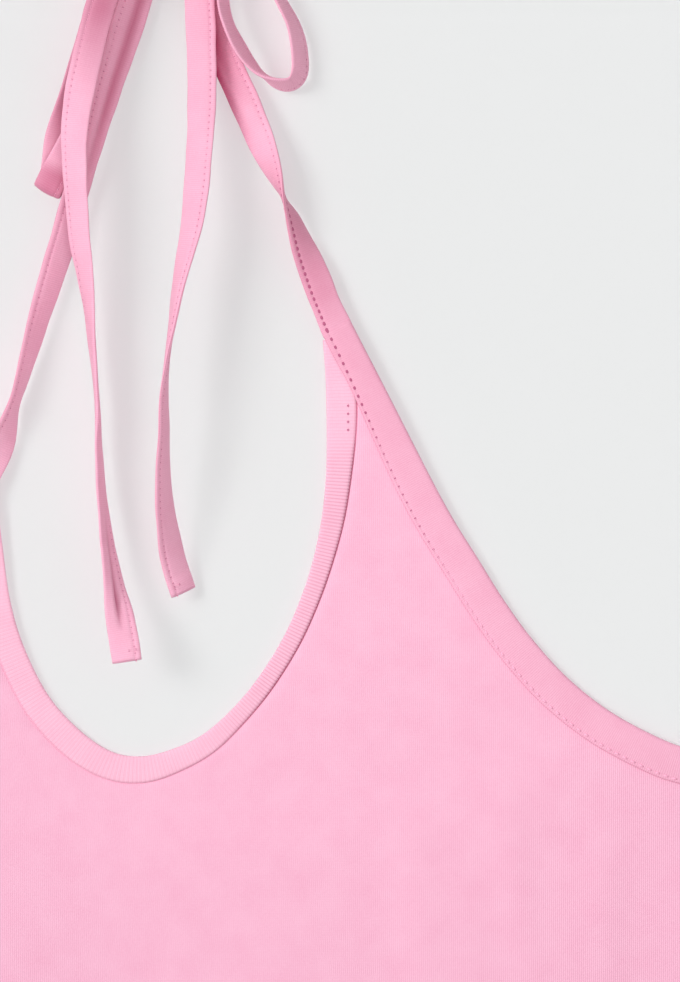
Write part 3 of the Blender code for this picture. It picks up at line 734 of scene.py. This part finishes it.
threads = works.node("GeometryNodeRealizeInstances", {}, {"Geometry": threads})
threads = works.node("GeometryNodeSetMaterial", {}, {"Geometry": threads, "Material": given["Thread"]})
hole_width = given["Hole size"] * open_hole
pit_size = works.node("ShaderNodeCombineXYZ", {}, {0: hole_width * 1.15, 1: hole_width, 2: hole_width * 0.35})
holes = works.node(
    "GeometryNodeInstanceOnPoints", {}, {"Points": row, "Instance": knob, "Rotation": turned, "Scale": pit_size}
)
half_on = works.node("ShaderNodeCombineXYZ", {}, {0: given["Stitch pitch"] * 0.5, 1: 0.0, 2: 0.0})
holes = works.node("GeometryNodeTranslateInstances", {}, {"Instances": holes, "Translation": half_on})
holes = works.node("GeometryNodeRealizeInstances", {}, {"Geometry": holes})
holes = works.node("GeometryNodeSetMaterial", {}, {"Geometry": holes, "Material": given["Hole"]})
joined = works.tree.nodes.new("GeometryNodeJoinGeometry")
for part in (threads, holes):
    stitch_tree.links.new(part.socket, joined.inputs[0])
finish_tree(stitch_tree, Works(stitch_tree, joined.outputs[0]))


def sewn_rows(name, rows, pitch, length, width, hole):
    """Rows of stitches along lines of (x, y, z), (up x, up y, up z), bead size, hole size."""
    points, edges, columns = [], [], []
    for line in rows:
        first = len(points)
        points += [tuple((row_point + (0.0, UNDERARM_Y, 0.0)) * MM) for row_point in line[:, :3]]
        edges += [(i, i + 1) for i in range(first, len(points) - 1)]
        columns.append(line[:, 3:])
    columns = np.vstack(columns)
    mesh = bpy.data.meshes.new(name)
    mesh.from_pydata(points, edges, [])
    layer = mesh.attributes.new("upward", "FLOAT_VECTOR", "POINT")
    layer.data.foreach_set("vector", columns[:, :3].astype(np.float32).ravel())
    for label, column in (("bead", 3), ("hole", 4)):
        layer = mesh.attributes.new(label, "FLOAT", "POINT")
        layer.data.foreach_set("value", columns[:, column].astype(np.float32))
    piece = bpy.data.objects.new(name, mesh)
    bpy.context.scene.collection.objects.link(piece)
    made_mesh(piece, stitch_tree, {
        "Stitch pitch": pitch * MM,
        "Stitch length": length * MM,
        "Thread width": width * MM,
        "Hole size": hole * MM,
        "Thread": thread,
        "Hole": needle_hole_painted_shade,
    })
    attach(piece, "root")
    return piece


def binding_width(edge, strap_end):
    from_strap = np.linalg.norm(edge[:, :2] - strap_end, axis=1)
    return BINDING_AT_STRAP + (BINDING_WIDTH - BINDING_AT_STRAP) * smoothstep(from_strap / BINDING_TAPER)


def armhole_strip(name, table, strap_at, bead_from, bead_to):
    """The folded strip along one armhole, and the row of topstitching that holds it."""
    edge = smooth_path(table, 1.2, 2)
    wide = binding_width(edge, edge[strap_at])
    over_cloth = CLOTH + SEAM_GAP
    top = over_cloth + BINDING_THICK
    stitch_at = wide - STITCH_INSET
    from_strap = np.linalg.norm(edge[:, :2] - edge[strap_at], axis=1)
    lip = STITCH_INSET - 0.85 * smoothstep((from_strap - 6.0) / 18.0)
    section = [(0.95, 0.0), (0.35, 0.12), (0.05, 0.55), (0.0, 1.2), (0.1, 1.8), (0.45, 2.2), (1.1, top)]
    rings = []
    for inward, height in section:
        place = moved_right(edge, inward)
        rings.append(np.column_stack([place, height + front_under(place[:, 0], place[:, 1])]))
    for share in (0.25, 0.5, 0.75, 0.92):
        place = moved_right(edge, share * stitch_at)
        crown = top + 0.16 * math.sin(math.pi * share)
        rings.append(np.column_stack([place, crown + front_under(place[:, 0], place[:, 1])]))
    for beyond, height in ((-0.35, -0.1), (0.0, -0.26), (0.3, -0.12), (0.6, -0.1)):
        place = moved_right(edge, stitch_at + beyond)
        rings.append(np.column_stack([place, top + height + front_under(place[:, 0], place[:, 1])]))
    for before, height in ((0.45, -0.2), (0.2, -0.45), (0.05, -0.75), (0.0, -BINDING_THICK)):
        place = moved_right(edge, stitch_at + lip - before)
        rings.append(np.column_stack([place, top + height + front_under(place[:, 0], place[:, 1])]))
    for inward, height in ((wide / 2, over_cloth), (BINDING_LIP + 0.2, over_cloth), (BINDING_LIP, over_cloth - 0.3), (BINDING_LIP, 0.15), (1.15, 0.0)):
        place = moved_right(edge, inward)
        rings.append(np.column_stack([place, height + front_under(place[:, 0], place[:, 1])]))
    # Painted shade, darkest at the strap and fading over 80 mm along the armhole, running on from the strap's painted
    # shade
    shade = BINDING_PAINTED_SHADE * (1 - 0.85 * smoothstep(from_strap / 80.0))
    strip = lofted(name, np.stack(rings, axis=1), strip_pink, {"painted_shade": np.repeat(shade[:, None], len(rings), axis=1)})
    line = moved_right(edge, stitch_at)
    level = top - 0.2 + front_under(line[:, 0], line[:, 1])
    low_down = smoothstep((bead_from - line[:, 1]) / (bead_from - bead_to))
    upward = np.tile((0.0, 0.0, 1.0), (len(line), 1))
    closes = smoothstep((HOLES_OPEN_ABOVE - line[:, 1]) / 25.0)
    bead, hole = 0.55 + 0.75 * low_down, 1.0 - 0.28 * closes - 0.35 * low_down
    row = np.column_stack([line, level, upward, bead, hole])
    stitches = sewn_rows(name + "_stitches", [row], STITCH_PITCH, 1.9, 0.75, 1.3)
    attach(strip, "root")
    return strip, stitches, len(edge) * 1.2


# A tack of four stitches holds the neck band's end beside the binding
tack = np.array([(67.7, 123.9), (67.7, 121.0), (67.7, 118.1), (67.7, 115.2)])
neck_points = np.array([point.co for point in neck.data.vertices]) / MM - (0.0, UNDERARM_Y, 0.0)
near = np.linalg.norm(neck_points[None, :, :2] - tack[:, None, :], axis=2) < 1.2
tack_top = np.where(near, neck_points[None, :, 2], 0.0).max(axis=1)
row = np.column_stack([tack, tack_top, np.tile((0.0, 0.0, 1.0, 0.8, 1.0), (len(tack), 1))])
tack_stitches = sewn_rows("neck_tack", [row], 2.2, 1.4, 0.5, 0.9)

right_binding, right_rows, right_length = armhole_strip("armhole_strip_right", ARMHOLE_RIGHT, 0, 80.0, 20.0)
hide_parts("armhole_binding_right")
left_binding, left_rows, left_length = armhole_strip("armhole_strip_left", ARMHOLE_LEFT, -1, 80.0, 20.0)
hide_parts("armhole_binding_left")

# Binding of the back's top edge: the same strip, set edge to edge with the back and flat on the surface.
back_path = smooth_path(left_half + BACK_EDGE, 2.0, 2)
section = [(0.35, 0.0), (0.05, 0.2), (0.0, 0.55), (0.08, 0.9), (0.4, 1.1), (3.0, 1.1), (5.5, 1.1), (8.4, 1.1)]
section += [(8.8, 0.9), (9.2, 1.1), (10.6, 1.08), (10.95, 0.8), (11.0, 0.5), (10.9, 0.1), (10.6, 0.0), (5.5, 0.0)]
rings = []
for inward, height in section:
    place = moved_right(back_path, inward)
    rings.append(np.column_stack([place, np.full(len(place), height)]))
back_strip = lofted("back_edge_strip", np.stack(rings, axis=1), strip_pink)
line = moved_right(back_path, 8.8)
row = np.column_stack([line, np.tile((0.95, 0.0, 0.0, 1.0, 0.9, 0.6), (len(line), 1))])
back_rows = sewn_rows("back_edge_stitches", [row], STITCH_PITCH, 2.2, 0.5, 0.7)
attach(back_strip, "root")
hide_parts("back_edge_binding")

# Hem. The jersey is folded up once and held by a twin-needle row, two lines of stitches side by side.
rows = []
for up in (HEM_FOLD - 5.0, HEM_FOLD - 1.8):
    y = up - HEM_DROP
    x = np.arange(-side_edge(y) + 3.0, side_edge(y) - 3.0, 1.5)
    level = front_high(x, np.full(len(x), y)) + 0.05
    rows.append(np.column_stack([x, np.full(len(x), y), level, np.tile((0, 0, 1.0, 1.0, 0.5), (len(x), 1))]))
hem_rows = sewn_rows("hem_stitches", rows, 3.0, 2.5, 0.55, 0.6)

# Straps, ties and bow. The bindings run on as narrow tubes of folded jersey with one stitched edge; they
# cross, tie in a bow above the neck and end in two hemmed tails.
STRAP_WIDTH = 10.8
STRAP_THICK = 1.7
# Free stretches: x, y, z, turn, width. A turn of 0 lies flat.
STRAP_RIGHT = [
    (11.5, 303.4, 4.0, 0, STRAP_WIDTH),
    (12.6, 291.6, 3.6, 0, STRAP_WIDTH),
    (16.2, 270.0, 3.2, -4, STRAP_WIDTH),
    (23.0, 250.0, 3.6, -6, STRAP_WIDTH),
    (30.1, 234.0, 5.0, -8, STRAP_WIDTH),
    (36.2, 219.6, 6.2, -22, STRAP_WIDTH),
    (41.0, 207.5, 7.0, -58, STRAP_WIDTH),
    (44.8, 198.0, 7.0, -92, STRAP_WIDTH),
    (48.0, 190.6, 6.8, -118, STRAP_WIDTH),
    (52.0, 180.0, 6.2, -145, STRAP_WIDTH),
    (56.4, 169.0, 5.4, -172, STRAP_WIDTH),
    (59.3, 161.4, 4.9, -178, STRAP_WIDTH),
    (63.1, 152.9, 4.6, -180, BINDING_AT_STRAP),
]
STRAP_LEFT = [
    (-0.5, 303.4, 4.0, 0, STRAP_WIDTH),
    (-3.4, 290.0, 4.6, 10, 11.6),
    (-8.6, 270.0, 5.6, 20, 12.4),
    (-13.4, 254.5, 6.4, 24, 12.4),
    (-18.3, 239.0, 6.8, 32, 12.0),
    (-24.8, 217.0, 6.8, 40, STRAP_WIDTH),
    (-29.9, 200.5, 6.8, 36, STRAP_WIDTH),
    (-34.6, 183.6, 6.8, 32, STRAP_WIDTH),
    (-41.2, 162.0, 6.6, 42, STRAP_WIDTH),
    (-45.5, 147.6, 6.6, 55, STRAP_WIDTH),
    (-49.5, 133.2, 6.6, 68, STRAP_WIDTH),
    (-52.6, 123.0, 6.6, 70, STRAP_WIDTH),
    (-56.6, 110.8, 5.6, 34, STRAP_WIDTH),
    (-61.8, 100.9, 4.6, 0, BINDING_AT_STRAP),
]
TIE_RIGHT = [
    (12.5, 303.4, 12.4, 0, STRAP_WIDTH),
    (13.6, 290.0, 9.8, 0, STRAP_WIDTH),
    (14.4, 270.0, 8.2, 0, STRAP_WIDTH),
    (15.0, 255.0, 8.2, -5, STRAP_WIDTH),
    (15.3, 240.0, 9.8, -14, STRAP_WIDTH),
    (14.9, 221.0, 13.4, -26, STRAP_WIDTH),
    (13.1, 198.0, 18.0, -35, STRAP_WIDTH),
    (11.0, 183.6, 19.5, -48, STRAP_WIDTH),
    (7.7, 169.2, 20.5, -64, STRAP_WIDTH),
    (5.2, 154.8, 21.4, -76, STRAP_WIDTH),
    (3.2, 140.4, 21.6, -88, STRAP_WIDTH),
    (2.0, 126.0, 21.2, -103, STRAP_WIDTH),
    (1.8, 111.6, 19.5, -108, STRAP_WIDTH),
    (1.6, 97.2, 16.5, -118, STRAP_WIDTH),
    (2.5, 82.8, 12.5, -130, STRAP_WIDTH),
    (5.0, 68.4, 8.0, -146, STRAP_WIDTH),
    (8.6, 56.9, 5.2, -150, STRAP_WIDTH),
]
TIE_LEFT = [
    (-0.5, 303.4, 14.3, 0, STRAP_WIDTH),
    (-0.8, 299.5, 14.5, 0, STRAP_WIDTH),
    (-3.6, 293.0, 15.2, 4, STRAP_WIDTH),
    (-9.4, 284.8, 16.2, 10, STRAP_WIDTH),
    (-15.4, 277.6, 16.8, 14, STRAP_WIDTH),
    (-19.8, 269.6, 17.0, 16, STRAP_WIDTH),
    (-23.6, 256.3, 17.0, 8, STRAP_WIDTH),
    (-28.3, 235.8, 17.0, -10, STRAP_WIDTH),
    (-30.1, 221.0, 17.5, -26, STRAP_WIDTH),
    (-29.9, 204.5, 18.0, -38, STRAP_WIDTH),
    (-28.4, 184.7, 16.5, -44, STRAP_WIDTH),
    (-26.3, 169.2, 14.0, -58, STRAP_WIDTH),
    (-24.8, 155.0, 12.0, -72, STRAP_WIDTH),
    (-22.3, 126.0, 10.5, -88, STRAP_WIDTH),
    (-21.6, 108.0, 10.0, -98, STRAP_WIDTH),
    (-20.5, 90.0, 10.0, -104, STRAP_WIDTH),
    (-18.7, 75.6, 11.0, -112, STRAP_WIDTH),
    (-16.2, 61.2, 13.2, -128, STRAP_WIDTH),
    (-13.9, 48.0, 16.8, -158, STRAP_WIDTH),
    (-12.4, 40.0, 18.8, -174, STRAP_WIDTH),
    (-11.2, 32.4, 20.0, -178, STRAP_WIDTH),
]
LOOP_RIGHT = [
    (20.0, 308.0, 7.2, 90, STRAP_WIDTH),
    (22.8, 306.6, 7.4, 90, STRAP_WIDTH),
    (24.2, 301.0, 8.0, 84, STRAP_WIDTH),
    (22.4, 285.0, 9.8, 75, STRAP_WIDTH),
    (22.8, 270.0, 10.8, 70, STRAP_WIDTH),
    (24.8, 260.3, 10.8, 70, STRAP_WIDTH),
    (29.3, 251.8, 10.2, 65, STRAP_WIDTH),
    (35.2, 244.2, 8.8, 76, STRAP_WIDTH),
    (41.4, 240.0, 7.6, 102, STRAP_WIDTH),
    (47.0, 239.4, 6.6, 114, STRAP_WIDTH),
    (50.4, 243.4, 6.2, 122, STRAP_WIDTH),
    (50.2, 251.6, 6.2, 122, STRAP_WIDTH),
    (47.9, 261.0, 6.2, 115, STRAP_WIDTH),
    (43.2, 270.0, 6.4, 110, STRAP_WIDTH),
    (36.7, 284.0, 6.8, 102, STRAP_WIDTH),
    (30.6, 300.0, 7.0, 95, STRAP_WIDTH),
    (26.6, 312.2, 7.2, 90, STRAP_WIDTH),
    (20.0, 314.0, 7.2, 90, STRAP_WIDTH),
]
LOOP_LEFT = [
    (-5.4, 314.5, 7.2, 90, STRAP_WIDTH),
    (-11.0, 311.5, 7.2, 85, STRAP_WIDTH),
    (-16.0, 296.0, 7.0, 75, STRAP_WIDTH),
    (-21.8, 275.0, 6.8, 65, STRAP_WIDTH),
    (-26.6, 255.6, 6.4, 58, STRAP_WIDTH),
    (-31.4, 238.0, 5.6, 48, STRAP_WIDTH),
    (-35.8, 222.0, 4.1, 28, STRAP_WIDTH),
    (-37.6, 208.0, 2.4, 8, STRAP_WIDTH),
    (-39.2, 203.4, 1.9, 0, STRAP_WIDTH),
    (-40.1, 201.7, 2.7, 0, STRAP_WIDTH),
    (-40.5, 201.0, 4.6, 0, STRAP_WIDTH),
    (-40.1, 201.7, 6.5, 0, STRAP_WIDTH),
    (-39.2, 203.4, 7.2, 0, STRAP_WIDTH),
    (-37.3, 207.0, 7.0, -4, STRAP_WIDTH),
    (-34.4, 212.4, 6.4, -14, STRAP_WIDTH),
    (-30.8, 220.0, 6.4, -30, STRAP_WIDTH),
    (-27.6, 228.0, 6.5, -38, STRAP_WIDTH),
    (-25.4, 235.5, 6.5, -42, STRAP_WIDTH),
    (-23.6, 242.0, 6.4, -46, STRAP_WIDTH),
    (-21.4, 254.0, 6.6, -60, STRAP_WIDTH),
    (-19.0, 266.0, 6.8, -72, STRAP_WIDTH),
    (-16.0, 278.0, 7.0, -82, STRAP_WIDTH),
    (-12.8, 290.0, 7.0, -88, STRAP_WIDTH),
    (-10.4, 301.0, 7.2, -90, STRAP_WIDTH),
    (-5.4, 306.5, 7.2, -90, STRAP_WIDTH),
]
STRIP_STITCH = 2.1
STRIP_PITCH = 2.4
STRIP_POINTS = (0.02, 0.12, 0.4, 0.8, 1.3, 1.7, 2.1, 2.5, 3.0, 3.8, 4.8, 5.9, 7.0, 8.0, 8.9, 9.7, 10.3, 10.6, 10.76)
# Lengthwise creases: from, to, across, depth, width on the stitched side, width on the plain side
LEFT_STRAP_CREASES = [(0.0, 120.0, 1.6, -1.1, 1.5, 1.9)]
LEFT_TIE_CREASES = [(226.0, 270.0, 0.4, 1.7, 2.6, 0.5)]
# Painted shade on the strips, in folds, in creases and under the ties: from, to, across, half width, strength of the
# painted shade
RIGHT_STRAP_PAINTED_SHADE = [(-40.0, 78.0, 2.0, 4.8, 1.0), (-40.0, 92.0, 5.0, 3.0, 1.0), (92.0, 168.0, 0.0, 9.0, 0.32)]
LEFT_STRAP_PAINTED_SHADE = [(-20.0, 110.0, 1.8, 2.2, 0.6), (-60.0, 170.0, 0.0, 9.0, 0.1)]
RIGHT_STRAP_ROOT = (64.2, 150.4, 4.3, -180, BINDING_AT_STRAP)
LEFT_STRAP_ROOT = (-63.0, 98.7, 4.3, 0, BINDING_AT_STRAP)
LEFT_TIE_PAINTED_SHADE = [(226.0, 270.0, 0.3, 1.0, 0.7), (-40.0, 72.0, 0.0, 7.0, 0.55)]
LEFT_LOOP_PAINTED_SHADE = [(30.0, 112.0, 0.0, 7.0, 0.4), (117.0, 136.0, 0.0, 9.0, 0.55)]


def strip_section(half, thick):
    """Round the folded strip: (across, off the middle) from its stitched edge over the face and back under."""
    face = []
    for from_stitched in STRIP_POINTS:
        share = from_stitched / STRAP_WIDTH
        edge = min(from_stitched, STRAP_WIDTH - from_stitched)
        rounding = math.sqrt(max(0.0, 1 - (1 - min(edge / 0.7, 1.0)) ** 2))
        pillow = 0.52 + 0.66 * math.sin(math.pi * share) ** 0.8
        groove = 0.3 * math.exp(-(((from_stitched - STRIP_STITCH) / 0.4) ** 2))
        face.append((share * 2 * half - half, thick / 2 * rounding * pillow - groove * min(1.0, pillow)))
    notch = [(0.9 - half, 0.03), (0.9 - half, -0.03)]
    return face + [(across, -off) for across, off in reversed(face)] + notch


def crease_depth(creases, along, across):
    """How far lengthwise creases push the strip off its middle, at a place along and across it."""
    depth = 0.0
    for start, end, at, deep, stitched_side, plain_side in creases:
        share = (along - start) / (end - start)
        if 0.0 < share < 1.0:
            wide = stitched_side if across < at else plain_side
            depth += deep * math.sin(math.pi * share) ** 0.7 * math.exp(-(((across - at) / wide) ** 2))
    return depth


def painted_shade_share(painted_shades, along, across):
    """How strongly painted shade lies on a place of a strip, from 0 to 1."""
    share = 0.0
    for start, end, at, wide, strength in painted_shades:
        run = (along - start) / (end - start)
        if 0.0 < run < 1.0:
            fade = min(1.0, 4 * run, 4 * (1 - run))
            share = max(share, strength * fade * math.exp(-(((across - at) / wide) ** 2)))
    return share


def free_strip(name, rows, node, stitched, creases=(), painted_shades=(), hemmed=False, pulled_from=1000.0):
    """One free stretch of the folded strip, with its stitched edge on the given hand, and its stitches."""
    path = smooth_path(rows, 1.2, 3)
    places, turns, widths = path[:, :3], np.radians(path[:, 3]), path[:, 4]
    ahead = np.gradient(places, axis=0)
    ahead /= np.linalg.norm(ahead, axis=1)[:, None]
    from_far_end = (len(path) - 1 - np.arange(len(path))) * 1.2
    rings, top_row, under_row, painted_shade = [], [], [], []
    last_side = np.cross(ahead[0], (0.0, 0.0, 1.0))
    for i, (place, forward, turn, width) in enumerate(zip(places, ahead, turns, widths)):
        side = np.cross(forward, (0.0, 0.0, 1.0))
        side *= math.copysign(1.0, side @ last_side) / np.linalg.norm(side)
        last_side = side
        up = np.cross(side, forward)
        across = side * math.cos(turn) + up * math.sin(turn)
        out = up * math.cos(turn) - side * math.sin(turn)
        along = i * 1.2
        breadth = width * (1 + 0.012 * math.sin(along / 5.1) + 0.01 * math.sin(along / 2.3 + 1))
        thick = STRAP_THICK * (1 + 0.05 * math.sin(along / 3.7))
        if hemmed:
            thick *= 1 + 0.35 * float(smoothstep((6.0 - from_far_end[i]) / 1.2))
        sway = 0.12 * math.sin(along / 6.3) + 0.07 * math.sin(along / 2.9 + 2)
        section = strip_section(breadth / 2, thick)
        bend = [sway * (u / 5.4) ** 2 + crease_depth(creases, along, u) for u, _ in section]
        rings.append([place + stitched * across * u + out * (v + off) for (u, v), off in zip(section, bend)])
        # Painted shade from the table, laid on the strip's colour
        painted_shade.append([painted_shade_share(painted_shades, along, u) for u, _ in section])
        at = STRIP_STITCH / 10.8 * breadth - breadth / 2
        face = thick / 2 * 0.85 - 0.1
        for rows_of, way in ((top_row, 1), (under_row, -1)):
            spot = place + stitched * across * at + out * (way * face + crease_depth(creases, along, at))
            pulled_open = 0.9 * float(smoothstep((along - pulled_from) / 20.0))
            rows_of.append([*spot, *(out * way), 0.8, 0.8 + pulled_open])
    strip = lofted(name, rings, strip_pink, {"painted_shade": painted_shade})
    lines = [np.array(top_row), np.array(under_row)]
    if hemmed:
        last = -4
        reach = widths[last] / 2 - 1.6
        side = np.array(rings[last][8]) - np.array(rings[last][2])
        side /= np.linalg.norm(side)
        for line, way in ((lines[0], 1), (lines[1], -1)):
            out = line[last, 3:6]
            middle = places[last] + out * (STRAP_THICK * 1.35 / 2 * 0.95)
            spots = [middle + side * u for u in np.linspace(-reach, reach, 8)]
            lines.append(np.column_stack([spots, np.tile([*out, 0.9, 0.9], (8, 1))]))
    stitches = sewn_rows(name + "_stitches", lines, STRIP_PITCH, 1.4, 0.42, 0.8)
    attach(strip, "root")
    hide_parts(node)
    return strip, stitches, len(path) * 1.2


pieces = [
    free_strip(
        "right_strap", STRAP_RIGHT + [RIGHT_STRAP_ROOT], "strap_right", 1, (), RIGHT_STRAP_PAINTED_SHADE, pulled_from=98.0
    ),
    free_strip("left_strap", STRAP_LEFT + [LEFT_STRAP_ROOT], "strap_left", -1, LEFT_STRAP_CREASES, LEFT_STRAP_PAINTED_SHADE),
    free_strip("right_tie", TIE_RIGHT, "tie_end_right", 1, hemmed=True),
    free_strip("left_tie", TIE_LEFT, "tie_end_left", -1, LEFT_TIE_CREASES, LEFT_TIE_PAINTED_SHADE, hemmed=True),
    free_strip("right_loop", LOOP_RIGHT, "bow_loop_right", 1),
    free_strip("left_loop", LOOP_LEFT, "bow_loop_left", 1, (), LEFT_LOOP_PAINTED_SHADE),
]

# Knot. The strip is wrapped once over the crossing of the straps and loops and pulled tight.
KNOT_CENTRE = (7.2, 313.2, 9.3)
KNOT_HALF = (11.6, 8.4, 7.2)
ball = bmesh.new()
bmesh.ops.create_uvsphere(ball, u_segments=72, v_segments=40, radius=1.0)
for vertex in ball.verts:
    x, y, z = vertex.co
    square = [math.copysign(abs(value) ** 0.72, value) for value in (x, y, z)]
    crease = 1.0 - 0.05 * math.exp(-((abs(x) - 0.55) / 0.1) ** 2) + 0.025 * math.sin(9 * y + 5 * x) * abs(x)
    spot = [KNOT_CENTRE[i] + KNOT_HALF[i] * square[i] * crease for i in range(3)]
    vertex.co = Vector((spot[0], spot[1] + UNDERARM_Y, spot[2])) * MM
core_mesh = bpy.data.meshes.new("knot_core")
ball.to_mesh(core_mesh)
ball.free()
layout = core_mesh.uv_layers.new(name="cut")
for loop in core_mesh.loops:
    co = core_mesh.vertices[loop.vertex_index].co
    layout.data[loop.index].uv = (co.x, co.y + co.z)
core_mesh.materials.append(strip_pink)
core_mesh.shade_smooth()
core = bpy.data.objects.new("knot_core", core_mesh)
bpy.context.scene.collection.objects.link(core)
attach(core, "root")
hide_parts("bow_knot")
wrap_rings = []
for angle in np.linspace(0.0, 2 * math.pi, 121)[:-1]:
    out = np.array([0.0, math.cos(angle) / 8.6, math.sin(angle) / 7.4])
    out /= np.linalg.norm(out)
    middle = np.array(KNOT_CENTRE) + (1.6 * math.cos(angle), 8.5 * math.cos(angle), 7.3 * math.sin(angle))
    half = 5.6 + 0.7 * math.cos(2 * angle)
    ring = []
    for u, v in strip_section(half, STRAP_THICK):
        ring.append(middle + np.array([1.0, 0.0, 0.0]) * u + out * (v - 0.35 * (u / half) ** 2 * 2))
    wrap_rings.append(ring)
wrap_rings = np.array(wrap_rings)
size = wrap_rings.shape[1]
faces, flat = [], []
for ring in range(len(wrap_rings)):
    after_ring = (ring + 1) % len(wrap_rings)
    for i in range(size):
        j = (i + 1) % size
        faces.append((ring * size + i, ring * size + j, after_ring * size + j, after_ring * size + i))
        flat += [(ring * 0.42, i * 0.6), (ring * 0.42, i * 0.6 + 0.6)]
        flat += [(ring * 0.42 + 0.42, i * 0.6 + 0.6), (ring * 0.42 + 0.42, i * 0.6)]
wrap = cloth_piece("knot_wrap", wrap_rings.reshape(-1, 3), faces, flat, strip_pink)
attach(wrap, "root")
